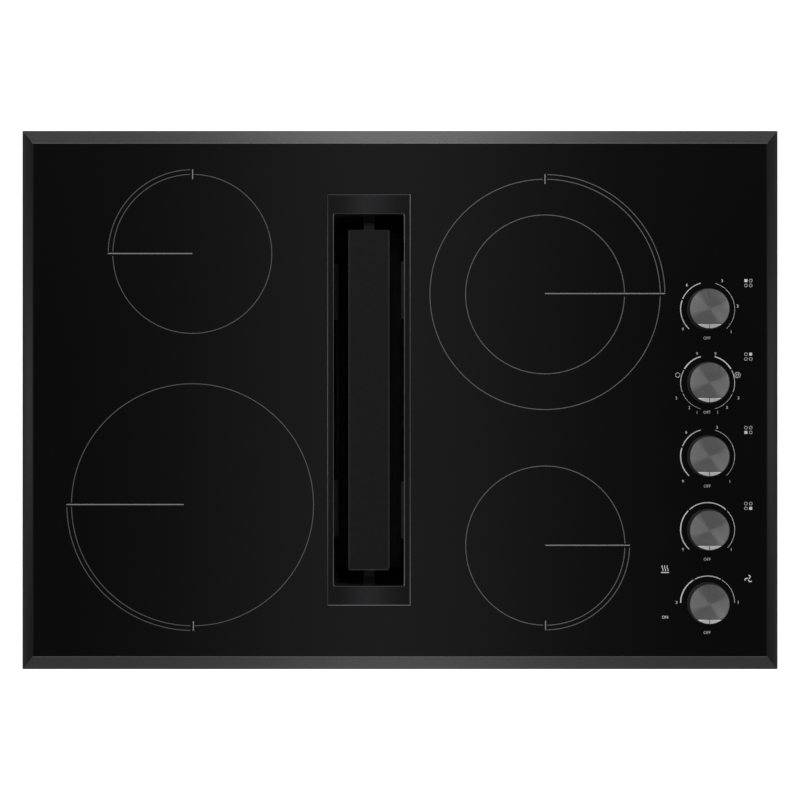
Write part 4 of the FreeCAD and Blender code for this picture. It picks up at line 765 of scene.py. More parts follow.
@made_once
def spun_metal(x, y):
    """Spun cap: fine rings about the axis, and four broad sectors of painted highlight and painted shade, two
    light and two dark, from the cosine of twice the angle less a small tilt. Painted shade dims it toward the
    front and the rear. The slope past the chord is painted bright as a highlight, with a painted shadow line
    along the chord, painted shade at the rim and a dark pointer line across the slope."""
    sizes = settings("knobs")
    colours = settings("colours")
    f = Finish(f"spun_metal_{round(y / MM)}", colours.cap, 0.34, 1.0)
    across, along, _ = f.axes(f.moved(location=(-x, -y, 0)))
    radius = f.calc("SQRT", f.plus(f.times(across, across), f.times(along, along)))
    turn = f.plus(f.calc("ARCTAN2", along, across), sizes.sheen_tilt)
    # Painted highlight and painted shade: two light and two dark sectors
    sectors = f.span(f.calc("COSINE", f.times(turn, 2.0)), 0.24, 0.78, -0.1, 0.6)
    rings = f.calc("SINE", f.times(radius, 24000.0))
    swing = f.times(f.calc("SUBTRACT", sectors, 0.5), f.span(radius, 0.0, 1.0, 0.0, sizes.sheen_middle))
    tone = f.plus(f.plus(swing, 0.5), f.times(f.noise(900, 2), 0.1))
    base = f.blend(tone, f.shade(0.55), f.shade(1.35))
    # Painted shade: darker toward the front and the rear, less so toward the left and right
    gain = f.calc("POWER", f.calc("DIVIDE", across, sizes.dim_across), 2.0)
    loss = f.calc("POWER", f.calc("DIVIDE", along, sizes.dim_along), 2.0)
    base = f.blend(f.plus(0.11, f.calc("SUBTRACT", loss, gain)), base, grey(0))
    # Painted shadow line along the chord
    chord_line = f.under(along, sizes.chord_line - sizes.chord)
    base = f.blend(chord_line, base, opaque(colours.cap_line))
    # Painted highlight: the slope past the chord is bright
    slope = f.under(along, -sizes.chord)
    base = f.blend(slope, base, opaque(colours.cap_slope))
    # Painted shade: a dark edge at the rim
    rim = f.over(radius, sizes.rim_start)
    base = f.blend(rim, base, opaque(colours.cap_rim))
    near_middle = f.under(f.calc("ABSOLUTE", across), sizes.line / 2)
    f.set("Base Color", f.blend(f.times(slope, near_middle), base, opaque(colours.pointer)))
    f.set("Roughness", f.plus(f.span(f.noise(500, 3), 0.30, 0.40), f.times(slope, 0.15)))
    f.relief(rings, 0.02, 0.01 * MM)
    return f.material


@made_once
def zinc_sheet():
    """Zinc-coated sheet: crystal spangle in two sizes, dull patches and rolling marks."""
    f = Finish("zinc_sheet", settings("colours").zinc, 0.42, 1.0)
    spangle = f.cells(95).outputs["Color"]
    fine = f.cells(260).outputs["Color"]
    tone = f.plus(f.times(spangle, 0.6), f.times(fine, 0.25))
    tone = f.plus(tone, f.times(f.noise(7, 5), 0.35))
    f.tones(tone, 0.62, 1.18)
    f.set("Roughness", f.span(f.plus(spangle, f.noise(30, 4)), 0.30, 0.56, 0.0, 2.0))
    f.relief(fine, 0.06, 0.05 * MM)
    return f.material


@made_once
def duct_sheet(x, half_x, half_y, foot_y, foot, knee):
    """The chamber's sheet: zinc outside, and painted shade inside, a dark grey for the deep duct. The inside
    narrows along Y in proportion to the height between the foot and the knee, where the end walls turn
    upright."""
    f = Finish("duct_sheet", settings("colours").zinc, 0.42, 1.0)
    spangle = f.cells(95).outputs["Color"]
    tone = f.plus(f.times(spangle, 0.7), f.times(f.noise(7, 5), 0.4))
    zinc = f.blend(tone, f.shade(0.62), f.shade(1.15))
    across, along, up = f.axes()
    # Painted shade: the inside of the duct is dark grey, not zinc
    inside = f.under(f.calc("ABSOLUTE", f.calc("SUBTRACT", across, x)), half_x)
    reach = f.span(up, foot_y, half_y, foot, knee)
    inside = f.times(inside, f.under(f.calc("ABSOLUTE", along), reach))
    inside = f.times(inside, f.over(up, foot + settings("metalwork").duct_foot))
    f.set("Base Color", f.blend(inside, zinc, opaque(settings("colours").duct_black)))
    f.set("Metallic", f.calc("SUBTRACT", 1.0, inside))
    f.set("Roughness", f.span(f.noise(30, 4), 0.36, 0.6))
    return f.material


@made_once
def plain_steel(name, level, rough, oxide):
    """Rolled steel: grain, a brown cast where it is oxidised, and small pits."""
    f = Finish("steel_" + name, (level, level, level), rough, 1.0)
    grain = f.noise(90, 4, (1, 12, 1))
    stain = f.noise(22, 5)
    clean = f.blend(grain, f.shade(0.8), f.shade(1.12))
    cast = (level * 0.5, level * 0.36, level * 0.26, 1)
    f.set("Base Color", f.blend(f.span(stain, 0, oxide, 0.35, 0.75), clean, cast))
    f.set("Roughness", f.span(stain, rough * 0.8, rough * 1.35))
    f.relief(f.noise(700, 3), 0.12, 0.04 * MM)
    return f.material


@made_once
def moulded(name, base, rough):
    """Moulded plastic with a fine grain and slightly uneven gloss."""
    f = Finish("moulded_" + name, base, rough)
    f.tones(f.noise(60, 4), 0.82, 1.18)
    f.set("Roughness", f.span(f.noise(180, 3), rough * 0.85, rough * 1.2))
    f.relief(f.noise(1500, 2), 0.18, 0.04 * MM)
    return f.material


@made_once
def fibre_board():
    """Pressed ceramic fibre: chalky, with short fibres and dust."""
    f = Finish("fibre_board", (0.80, 0.79, 0.75), 0.95, 0.0, 0.2)
    fibres = f.noise(900, 6, (1, 3, 1), 0.8)
    f.tones(fibres, 0.82, 1.06)
    f.relief(f.plus(fibres, f.noise(120, 4)), 0.5, 0.3 * MM)
    return f.material


@made_once
def foam_rubber(level):
    """Closed-cell foam: matte, with small open cells."""
    f = Finish("foam_rubber", (level, level, level), 0.9, 0.0, 0.25)
    cells = f.cells(1300).outputs["Distance"]
    f.tones(cells, 0.7, 1.3)
    f.relief(cells, 0.5, 0.15 * MM)
    return f.material


@made_once
def motor_enamel():
    """Dipped black enamel over sheet: glossy, with runs and dust."""
    f = Finish("motor_enamel", settings("colours").motor, 0.3)
    f.tones(f.noise(25, 4), 0.7, 1.4)
    f.set("Roughness", f.span(f.noise(60, 4), 0.22, 0.48))
    f.relief(f.noise(160, 3), 0.18, 0.08 * MM)
    return f.material


@made_once
def drawn_can():
    """Drawn aluminium: fine lines along the draw and a soft haze."""
    f = Finish("drawn_can", (0.72, 0.73, 0.74), 0.35, 1.0)
    lines = f.noise(60, 3, (14, 14, 1))
    f.tones(lines, 0.75, 1.1)
    f.set("Roughness", f.span(f.noise(40, 4), 0.26, 0.46))
    f.relief(lines, 0.08, 0.04 * MM)
    return f.material


# Operators
class COOKTOP_OT_glass(Operator):
    """Finish the glass top, its adhesive and the seal on the countertop"""
    bl_idname = "cooktop.glass"
    bl_label = "Glass and seals"

    def execute(self, context):
        finish_node("glass_top", ceramic_glass())
        finish_node("glass_adhesive", moulded("adhesive", (0.02, 0.02, 0.02), 0.5))
        finish_node("counter_seal", foam_rubber(0.035))
        return {"FINISHED"}


class COOKTOP_OT_trim_rails(Operator):
    """Four mitred rails of the bevelled trim, with softened edges"""
    bl_idname = "cooktop.trim_rails"
    bl_label = "Trim rails"

    # Each rail: the axis that it runs along, and its side of the middle
    rails = {"front": ("x", -1), "rear": ("x", 1), "left": ("y", -1), "right": ("y", 1)}

    def execute(self, context):
        low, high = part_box("trim_front")
        reach = {"x": high.x, "y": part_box("trim_left")[1].y}
        metal = settings("metalwork")
        tops = {"x": metal.long_bevel, "y": metal.bevel_width}
        slopes = {"x": metal.long_bevel - metal.long_land, "y": metal.bevel_width - metal.side_land}
        for side, (along, sign) in self.rails.items():
            across = "y" if along == "x" else "x"
            bow = metal.long_bow if along == "x" else metal.side_bow
            own = (0, slopes[along], tops[along], high.y - low.y)
            other = (0, slopes[across], tops[across], high.y - low.y)
            rings = self.rings(reach[along], reach[across], sign, along, own, other, bow, low.z, high.z)
            piece("trim_rail_" + side, loft(rings), black_trim(along),
                  stands_for=["trim_" + side])
        return {"FINISHED"}

    def bowed(self, section, start, end, rise):
        """Points added on the long slope, lifted off it by a parabola: rise times 4 t (1 - t)."""
        start = np.array(start)
        way = np.array(end) - start
        off = np.array([-way[1], way[0]]) / np.linalg.norm(way)
        share = (section - start) @ way / (way @ way)
        near = np.abs((section - start) @ off) < HAIR
        last = np.where(near & (share < 0.5))[0].max()
        t = np.linspace(0.08, 0.92, 9)[:, None]
        slope = start + way * t + off * rise * 4 * t * (1 - t)
        return np.concatenate([section[:last + 1], slope, section[last + 1:]])

    def rings(self, half_long, half_other, sign, along, own, other, bow, foot, top):
        """Section of the rail at both ends. A point further in lies nearer the middle, so that it meets the
        same place on the next rail: foot, end of the slope, end of the level strip and end of the shelf are
        at the distances in own on this rail and in other on the next. The seam is left open."""
        metal = settings("metalwork")
        _, slope, edge, width = own
        outline = [(0, foot), (0, foot + metal.lip), (slope, top), (edge, top), (edge, foot + metal.shelf),
                   (width, foot + metal.shelf), (width, foot)]
        soft = metal.soft_edge
        radii = (soft / 2, soft / 2, soft / 4, soft / 4, soft / 3, soft / 2, soft / 2)
        section = self.bowed(soft_corners(outline, radii), outline[1], outline[2], bow)
        inward, up = section[:, 0], section[:, 1]
        across = sign * (half_other - inward)
        drawn_in = np.interp(inward, own, other)
        rings = []
        for end in (-1, 1):
            run = end * (half_long - drawn_in - metal.mitre_gap)
            rings.append(np.stack([run, across, up] if along == "x" else [across, run, up], axis=-1))
        return rings


class COOKTOP_OT_zone_prints(Operator):
    """Printed rings, quarter arcs and marks of the four heated zones"""
    bl_idname = "cooktop.zone_prints"
    bl_label = "Zone prints"

    # Each zone: start of its quarter arc, angle of its tick, angle of its line, and where that line starts
    marks = {"rear_left": (90, 90, 180, 0.0), "front_left": (180, 270, 180, 9.1 * MM),
             "rear_right": (0, 90, 0, 0.0), "front_right": (270, 270, 0, 0.0)}
    # How far each print sits off its element: middle in X and Y, radius, tick in X and line in Y
    strays = {"rear_left": (0.1, -0.25, 0.05, 0.4, 0.1), "front_left": (0.3, 0.15, -0.2, 1.2, 0.4),
              "rear_right": (0.4, -0.25, 0.0, 0.35, 0.6), "front_right": (0.65, 0.0, 0.15, 0.95, 0.35)}

    def execute(self, context):
        sizes = settings("prints")
        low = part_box("glass_top")[1].z
        high = low + sizes.ink
        for zone in ZONES:
            near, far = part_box("element_pan_" + zone)
            stray_x, stray_y, stray_r, tick_x, line_y = (stray * MM for stray in self.strays[zone])
            element = (near + far) / 2
            centre = element + Vector((stray_x, stray_y, 0))
            r = (far.x - near.x) / 2 - sizes.pan_margin + stray_r
            quarter, tick, line, start = self.marks[zone]
            radii = [r, sizes.inner_ring] if zone == "rear_right" else [r]
            rings = []
            for radius in radii:
                rings += self.broken_ring(centre, radius, tick if radius == r else None, line, low, high)
            outer = r + sizes.arc_step
            gap = math.degrees(sizes.line_break / outer)
            arc = arc_path(centre.x, centre.y, outer, quarter + gap, quarter + 90 - gap)
            rings.append(band(arc, sizes.ring_line, low, high))
            piece("zone_rings_" + zone, together(rings), printed_ink("faint_ink"))
            out = outer + sizes.ring_line / 2
            tick_centre = element + Vector((tick_x, stray_y, 0))
            line_centre = element + Vector((stray_x, line_y, 0))
            parts = [self.radial(tick_centre, tick, out - sizes.tick, out, low, high),
                     self.radial(line_centre, line, start, out, low, high)]
            piece("zone_marks_" + zone, together(parts), printed_ink("mark_ink"))
        return {"FINISHED"}

    def broken_ring(self, centre, r, tick, line, low, high):
        """Circle left open at each mark that crosses it, by the clear space over the radius as an angle."""
        sizes = settings("prints")
        gap = math.degrees(sizes.line_break / r)
        cuts = sorted({line % 360} | ({tick % 360} if tick is not None else set()))
        parts = []
        for k, cut in enumerate(cuts):
            after = cuts[(k + 1) % len(cuts)]
            after += 360 if after <= cut else 0
            path = arc_path(centre.x, centre.y, r, cut + gap, after - gap)
            parts.append(band(path, sizes.ring_line, low, high))
        return parts

    def radial(self, centre, angle, start, end, low, high):
        """Straight mark along a ray: the centre plus a distance, from start to end, times the cosine and the
        sine of the angle."""
        way = np.array([math.cos(math.radians(angle)), math.sin(math.radians(angle))])
        path = np.array([centre.x, centre.y]) + np.outer(np.linspace(start, end, 3), way)
        return band(path, settings("prints").mark_line, low, high)


class COOKTOP_OT_dial_prints(Operator):
    """Printed dials round the knobs, with their numbers and symbols"""
    bl_idname = "cooktop.dial_prints"
    bl_label = "Dial prints"

    # Stretches of each dial's arc: where one starts and ends, in degrees, and its line width
    arcs = {
        "rear_left": [(228.5, 159, 0.95 * MM), (159, 103, 0.76 * MM), (76, -47.5, 0.34 * MM)],
        "rear_right": [(103, 151, 1.25 * MM), (151, 202, 0.60 * MM), (202, 257, 0.40 * MM),
                       (77, 29, 1.15 * MM), (29, -22, 0.60 * MM), (-22, -77, 0.42 * MM)],
        "front_left": [(228.5, 160, 1.15 * MM), (160, 103, 0.88 * MM), (76, -47.5, 0.36 * MM)],
        "front_right": [(228.5, 134, 1.12 * MM), (134, 46, 1.00 * MM), (46, -44.5, 0.46 * MM)],
        "fan": [(181.5, 120, 1.20 * MM), (120, 60, 0.92 * MM), (60, -1.5, 0.40 * MM)],
    }
    # Labels: what is written, and where it stands from the knob's axis
    labels = {
        "rear_left": [("9", -25.7, -20.5), ("6", -21.5, 25.2), ("3", 14.9, 29.6), ("2", 31.1, 3.5),
                      ("1", 24.4, -23.4), ("OFF", -0.8, -29.8)],
        "rear_right": [("9", -11.0, 30.1), ("9", 8.1, 30.0), ("3", -32.5, -15.8), ("3", 31.8, -15.8),
                       ("2", -19.0, -25.7), ("2", 20.0, -25.5), ("1", -11.1, -30.8), ("1", 10.2, -30.8),
                       ("OFF", -0.7, -30.5)],
        "front_left": [("9", -25.6, -26.0), ("6", -22.2, 24.8), ("3", 9.7, 29.9), ("1", 23.1, -26.0),
                       ("OFF", -0.4, -31.0)],
        "front_right": [("9", -25.6, -20.5), ("1", 24.5, -20.7), ("OFF", -0.6, -30.7)],
        "fan": [("3", -32.3, 0.6), ("1", 31.7, 0.6), ("OFF", -0.7, -30.5)],
    }
    icon_places = {"rear_left": (42.1, 27.2), "rear_right": (42.1, 27.1), "front_left": (42.1, 27.1),
                   "front_right": (42.1, 24.5), "fan": (42.3, 25.0)}
    filled_squares = {"rear_left": (-1, 1), "rear_right": (1, 1), "front_left": (-1, -1),
                      "front_right": (1, -1)}
    # Blades of the fan's sign: angle of the first, how far each turns on its way out, and the share of a half
    # turn whose sine its reach follows
    first_blade = math.radians(25)
    blade_turn = 1.15
    blade_hook = 0.62
    # Rings of the sign beside each half of the double zone's dial: side, then radii
    circuit_rings = ((-1, (2.3 * MM,)), (1, (2.9 * MM, 1.3 * MM)))

    def execute(self, context):
        sizes = settings("prints")
        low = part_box("glass_top")[1].z
        high = low + sizes.ink
        for name in CONTROLS:
            x, y = footprint("knob_cap_" + name)[:2]
            parts = self.dial(name, x, y, low, high)
            for text, dx, dy in self.labels[name]:
                parts.append(writing(text, sizes.label, x + dx * MM, y + dy * MM, low, high))
            icon_x, icon_y = self.icon_places[name]
            parts += self.icon(name, x + icon_x * MM, y + icon_y * MM, low, high)
            if name == "rear_right":
                parts += self.circuits(x, y, low, high)
            piece("dial_print_" + name, together(parts), printed_ink("ink"))
        self.lamp_marks(low, high)
        return {"FINISHED"}

    def dial(self, name, x, y, low, high):
        """Stretches of a circle, each drawn in at both ends by half the clear space over the radius."""
        sizes = settings("prints")
        gap = math.degrees(sizes.dial_break / sizes.dial) / 2
        parts = []
        for start, end, width in self.arcs[name]:
            way = 1 if end > start else -1
            path = arc_path(x, y, sizes.dial, start + way * gap, end - way * gap)
            parts.append(band(path, width, low, high))
        return parts

    def icon(self, name, x, y, low, high):
        """Four squares with the knob's own zone filled, or three curved blades for the fan."""
        sizes = settings("prints")
        if name == "fan":
            return self.blades(x, y, low, high)
        half = sizes.icon_square / 2
        parts = []
        for side_x in (-1, 1):
            for side_y in (-1, 1):
                cx = x + side_x * sizes.icon_pitch / 2
                cy = y + side_y * sizes.icon_pitch / 2
                if (side_x, side_y) == self.filled_squares[name]:
                    parts.append(tile(rounded_rectangle(cx, cy, half, half, half / 6, 0)[:, :2], low, high))
                else:
                    inset = half - sizes.icon_line / 2
                    outline = rounded_rectangle(cx, cy, inset, inset, inset / 2, 0)[:, :2]
                    parts.append(band(outline, sizes.icon_line, low, high, closed=True))
        return parts

    def blades(self, x, y, low, high):
        """Each blade turns in proportion to its run, while its radius follows a sine past the top, so that
        the blade hooks back at its end."""
        sizes = settings("prints")
        t = np.linspace(0, 1, 14)
        parts = []
        for turn in (0, 1, 2):
            angle = self.first_blade + turn * FULL_TURN / 3 + self.blade_turn * t
            r = sizes.blade_start + sizes.blade_reach * np.sin(t * math.pi * self.blade_hook)
            path = np.stack([x + r * np.cos(angle), y + r * np.sin(angle)], axis=-1)
            parts.append(band(path, sizes.blade_line + sizes.blade_swell * np.sin(t * math.pi), low, high))
        return parts

    def circuits(self, x, y, low, high):
        """One ring for the single circuit, two for the double one."""
        sizes = settings("prints")
        parts = []
        for side, radii in self.circuit_rings:
            for r in radii:
                path = arc_path(x + side * sizes.circuit_out, y + sizes.circuit_up, r, 0, 360, 12)[:-1]
                parts.append(band(path, sizes.circuit_line, low, high, closed=True))
        return parts

    def lamp_marks(self, low, high):
        """Three rising waves over a bar for the hot-surface lamp, and ON for the other. A wave swings
        sideways with the sine of one full turn over its height."""
        sizes = settings("prints")
        lamps = [points.mean(axis=0) for points in solids_of("indicator_lights")]
        lamps.sort(key=lambda centre: -centre[1])
        x, y = lamps[0][:2]
        t = np.linspace(0, 1, 20)
        bar = rounded_rectangle(x, y - sizes.bar_drop, sizes.bar_length / 2, sizes.bar_width / 2,
                                sizes.bar_width / 5, 0)[:, :2]
        parts = [tile(bar, low, high)]
        for number in (-1, 0, 1):
            path = np.stack([x + number * sizes.wave_pitch + sizes.wave_swing * np.sin(t * FULL_TURN),
                             y - sizes.wave_foot + sizes.wave_height * t], axis=-1)
            parts.append(band(path, sizes.wave_line, low, high))
        piece("hot_surface_mark", together(parts), printed_ink("ink"))
        x, y = lamps[1][:2]
        piece("on_mark", writing("ON", sizes.label, x, y, low, high), printed_ink("ink"))


class COOKTOP_OT_vent(Operator):
    """Trim of the vent slot, its lid with two feet, and the chamber below"""
    bl_idname = "cooktop.vent"
    bl_label = "Vent"

    def execute(self, context):
        self.trim()
        self.lid()
        self.chamber()
        return {"FINISHED"}

    def trim(self):
        """Rings that follow the slot: up its wall, over the rolled lip and the flange, down the flange's
        edge, in under it and down the wall's far side. Two ledges stand out from the wall for the lid's
        feet."""
        metal = settings("metalwork")
        low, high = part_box("vent_trim")
        x, _, half_x, half_y = footprint("vent_trim")
        slot_x = half_x - metal.vent_side
        slot_y = half_y - metal.vent_end
        lip_x = slot_x - metal.side_roll
        lip_y = slot_y - metal.end_roll
        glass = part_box("glass_top")[1].z
        edge = metal.soft_edge
        corner = metal.vent_corner
        wall = metal.vent_wall
        lip = corner + edge
        steps = [
            (slot_x, slot_y, corner, low.z + wall / 3), (slot_x, slot_y, corner, high.z - 4 * edge),
            (lip_x, lip_y, corner, high.z - 2 * edge), (lip_x, lip_y, corner, high.z - edge),
            (lip_x + edge * 0.3, lip_y + edge * 0.3, corner + edge * 0.3, high.z - edge * 0.3),
            (lip_x + edge, lip_y + edge, lip, high.z),
            (lip_x + 2 * edge, lip_y + 2 * edge, lip + edge, high.z),
            (half_x - 2 * edge, half_y - 2 * edge, edge, high.z),
            (half_x - edge, half_y - edge, edge, high.z),
            (half_x - edge * 0.3, half_y - edge * 0.3, edge, high.z - edge * 0.3),
            (half_x, half_y, edge, high.z - edge), (half_x, half_y, edge, glass + GLASS_GAP),
            (slot_x + wall, slot_y + wall, corner + wall, glass + GLASS_GAP),
            (slot_x + wall, slot_y + wall, corner + wall, low.z),
            (slot_x + wall / 3, slot_y + wall / 3, corner, low.z),
        ]
        rings = [rounded_rectangle(x, 0, hx, hy, r, z, 6) for hx, hy, r, z in steps]
        finish = vent_plate(round(x, 5), round(half_x, 5), round(half_y, 5), round(lip_x, 5), round(lip_y, 5),
                            metal.highlight_line)
        piece("vent_trim_plate", loft(np.stack(rings), closed=True), finish,
              stands_for=["vent_trim"])
        lid_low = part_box("vent_cover")[0]
        ledge_top = lid_low.z - metal.ledge_gap
        tip = slot_y - metal.ledge_reach
        ledges = []
        for side in (-1, 1):
            middle = side * (slot_y + tip) / 2
            half = (slot_y + wall / 2 - tip) / 2 + wall / 4
            outline = [rounded_rectangle(x, middle, metal.ledge_width / 2, half, edge, z, 3)
                       for z in (ledge_top - wall, ledge_top)]
            ledges.append(loft(np.stack(outline)))
        piece("vent_ledges", together(ledges), dull_black())

    def lid(self):
        """Rings from the middle of the top, over the rounded edge, down the skirt and back up inside."""
        metal = settings("metalwork")
        low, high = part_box("vent_cover")
        x, _, half_x, reach = footprint("vent_cover")
        half_y = reach - metal.foot_reach
        sheet = metal.cover_sheet
        corner = metal.cover_corner
        edge = metal.soft_edge
        skirt = high.z - metal.cover_skirt
        hem = metal.cover_hem
        steps = [(edge * 2.2, high.z), (edge, high.z - HAIR)]
        for turn in (30, 60, 90):
            a = math.radians(turn)
            steps.append((edge * (1 - math.sin(a)), high.z - edge * (1 - math.cos(a))))
        steps += [(0, skirt + hem), (hem, skirt), (sheet - hem, skirt), (sheet, skirt + hem),
                  (sheet, high.z - sheet - edge / 2), (sheet + edge, high.z - sheet)]
        rings = [rounded_rectangle(x, 0, half_x - inset, half_y - inset, max(corner - inset, 0.3 * MM), z, 6)
                 for inset, z in steps]
        parts = [loft(np.stack(rings))]
        for side in (-1, 1):
            parts.append(self.foot(x, side, half_y, low.z, high.z))
        finish = lid_coat(round(x, 5), round(half_x, 5), round(half_y, 5), round(high.z - edge, 5),
                          metal.lid_highlight_line)
        piece("vent_lid", together(parts), finish, "cover", ["vent_cover"])

    def chamber(self):
        """The chamber keeps its own shape. Its finish needs the half widths of its inside at the slot, its
        reach along Y at its foot, and the height of its knee, where the end walls reach their full width."""
        metal = settings("metalwork")
        x, _, outer_x, outer_y = footprint("vent_trim")
        half_x = outer_x - metal.vent_side + 2 * metal.vent_wall
        half_y = outer_y - metal.vent_end + 2 * metal.vent_wall
        points = np.concatenate(solids_of("vent_chamber"))
        reach = np.abs(points[:, 1])
        foot = points[:, 2].min()
        foot_y = reach[points[:, 2] < foot + metal.duct_sheet / 2].max() - metal.duct_sheet / 2
        knee = points[reach > half_y, 2].min()
        finish = duct_sheet(*(round(float(value), 5) for value in (x, half_x, half_y, foot_y, foot, knee)))
        finish_node("vent_chamber", finish)

    def foot(self, x, side, half_y, bottom, top):
        """Stepped strip: its side view, with rounded bends, carried straight across its width."""
        metal = settings("metalwork")
        sheet = metal.foot_sheet
        inner = half_y - sheet
        outer = half_y - metal.cover_sheet / 2
        outline = [(inner, top - metal.cover_sheet / 2), (outer, top - metal.cover_sheet / 2),
                   (outer, bottom + sheet), (half_y + metal.foot_reach, bottom + sheet),
                   (half_y + metal.foot_reach, bottom), (inner, bottom)]
        soft = metal.foot_bend
        section = soft_corners(outline, (soft, soft / 2, soft, soft * 2, soft * 2, soft * 3), 3)
        rings = []
        for end in (-1, 1):
            place = np.full(len(section), x + end * metal.foot_width / 2)
            rings.append(np.column_stack([place, side * section[:, 0], section[:, 1]]))
        return loft(np.stack(rings))


class COOKTOP_OT_filter(Operator):
    """Grease filter: its frame, and crossed strands of expanded metal in place of the plain slab"""
    bl_idname = "cooktop.filter"
    bl_label = "Grease filter"

    def execute(self, context):
        metal = settings("metalwork")
        softened_copy("filter_frame", dark_metal("frame"), metal.sheet_edge)
        low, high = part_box("filter_mesh")
        centre = np.array((low + high) / 2)
        tilt = metal.filter_tilt
        across = np.array([math.cos(tilt), 0, math.sin(tilt)])
        out = np.array([-math.sin(tilt), 0, math.cos(tilt)])
        parts = []
        for layer, slant in ((-1.5, 1), (-0.5, -1), (0.5, 1), (1.5, -1)):
            parts += self.strands(centre + out * layer * metal.layer_pitch, across, out, slant, metal)
        piece("filter_strands", together(parts), dark_metal("mesh"), "filter",
              ["filter_mesh"], smooth=20)
        return {"FINISHED"}

    def strands(self, centre, across, out, slant, metal):
        """Straight bars at a slant: each runs from edge to edge of the window, on the line where place along
        the window minus slant times place across it is constant."""
        half_w = metal.filter_width / 2
        half_l = metal.filter_length / 2
        step = metal.strand_pitch
        parts = []
        for offset in np.arange(-half_l - half_w, half_l + half_w, step):
            start = max(-half_w, (-half_l - offset) * slant if slant > 0 else (half_l - offset) * slant)
            end = min(half_w, (half_l - offset) * slant if slant > 0 else (-half_l - offset) * slant)
            if end - start < metal.strand_pitch:
                continue
            ends = [centre + across * s + np.array([0, 1, 0]) * (offset + slant * s) for s in (start, end)]
            side = (across * -slant + np.array([0, 1, 0])) / math.sqrt(2) * metal.strand / 2
            lift = out * metal.strand * 0.3
            rings = [[p + side + lift, p - side + lift, p - side - lift, p + side - lift] for p in ends]
            parts.append(loft(np.array(rings)))
        return parts


class COOKTOP_OT_knobs(Operator):
    """Five knobs: turned drums with softened rims, and spun metal caps"""
    bl_idname = "cooktop.knobs"
    bl_label = "Knobs"

    def execute(self, context):
        sizes = settings("knobs")
        for name in CONTROLS:
            low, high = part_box("knob_" + name)
            x, y = footprint("knob_" + name)[:2]
            profile = self.profile(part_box("knob_cap_" + name)[1].x - x, high.x - x, low.z, high.z)
            drum = loft(lathe(profile, x, y, sizes.around), closed=True)
            piece("knob_drum_" + name, drum, knob_plastic(), name + "_knob", ["knob_" + name])
            softened_copy("knob_cap_" + name, spun_metal(round(x, 5), round(y, 5)), sizes.cap_edge)
            finish_node("shaft_" + name, plain_steel("shaft", 0.58, 0.3, 0.1))
            finish_node("cam_" + name, moulded("cam", (0.62, 0.58, 0.48), 0.5))
        return {"FINISHED"}

    def profile(self, r, foot, low, high):
        """Half section, as a closed outline of (radius, height): bore, hub, roof, inner wall, foot bead and
        wall."""
        k = settings("knobs")
        roof = high - k.roof
        hub_foot = low + k.hub_rise
        outline = [(k.bore, hub_foot), (k.hub, hub_foot), (k.hub, roof), (r - k.wall, roof),
                   (r - k.wall, low), (foot, low), (foot, low + k.bead), (r - k.waist, low + k.bead),
                   (r - k.waist, high - k.edge * 2), (r, high - k.edge / 2), (r, high), (k.bore, high)]
        edge = k.edge
        radii = (edge / 3, edge / 3, edge, edge, edge / 2, edge / 2, edge, edge / 4, edge / 2, edge / 4,
                 edge / 6, edge / 3)
        return soft_corners(outline, radii, 3)


class COOKTOP_OT_burner_box(Operator):
    """Burner box, supply box and hold-down brackets, in zinc-coated sheet with rounded cut edges"""
    bl_idname = "cooktop.burner_box"
    bl_label = "Burner box"

    def execute(self, context):
        edge = settings("metalwork").sheet_edge
        for node in ("burner_box", "supply_box", "supply_cover", "hold_down_brackets", "switch_bracket"):
            softened_copy(node, zinc_sheet(), edge)
        finish_node("terminal_block", moulded("block", (0.62, 0.60, 0.52), 0.45))
        return {"FINISHED"}


class COOKTOP_OT_elements(Operator):
    """Radiant elements under the glass, with their rails and springs"""
    bl_idname = "cooktop.elements"
    bl_label = "Radiant elements"

    def execute(self, context):
        for zone in ZONES:
            finish_node("element_pan_" + zone, plain_steel("pan", 0.55, 0.4, 0.35))
        finish_node("element_insulation", fibre_board())
        finish_node("heater_ribbons", plain_steel("ribbon", 0.32, 0.5, 0.9))
        finish_node("heat_limiters", moulded("ceramic", (0.80, 0.79, 0.74), 0.55))
        finish_node("element_rails", zinc_sheet())
        finish_node("element_springs", plain_steel("spring", 0.45, 0.35, 0.2))
        return {"FINISHED"}


class COOKTOP_OT_switches(Operator):
    """Switches behind the knobs and the two lamps"""
    bl_idname = "cooktop.switches"
    bl_label = "Switches and lamps"

    def execute(self, context):
        finish_node("heat_switches", moulded("switch", (0.10, 0.10, 0.10), 0.5))
        finish_node("fan_switch", moulded("fan_switch", (0.16, 0.16, 0.17), 0.5))
        finish_node("indicator_lights", moulded("lens", (0.55, 0.10, 0.05), 0.2))
        return {"FINISHED"}


class COOKTOP_OT_blower(Operator):
    """Blower: housing, inlet ring, wheel, finned motor, capacitor and duct collar"""
    bl_idname = "cooktop.blower"
    bl_label = "Blower"

    def execute(self, context):
        edge = settings("metalwork").sheet_edge
        for node in ("blower_housing", "inlet_ring", "motor_plate", "duct_collar"):
            softened_copy(node, zinc_sheet(), edge)
        finish_node("blower_wheel", zinc_sheet())
        finish_node("motor_shaft", plain_steel("motor_shaft", 0.6, 0.28, 0.1))
        softened_copy("run_capacitor", drawn_can(), settings("metalwork").can_edge)
        softened_copy("blower_motor", motor_enamel(), edge)
        return {"FINISHED"}


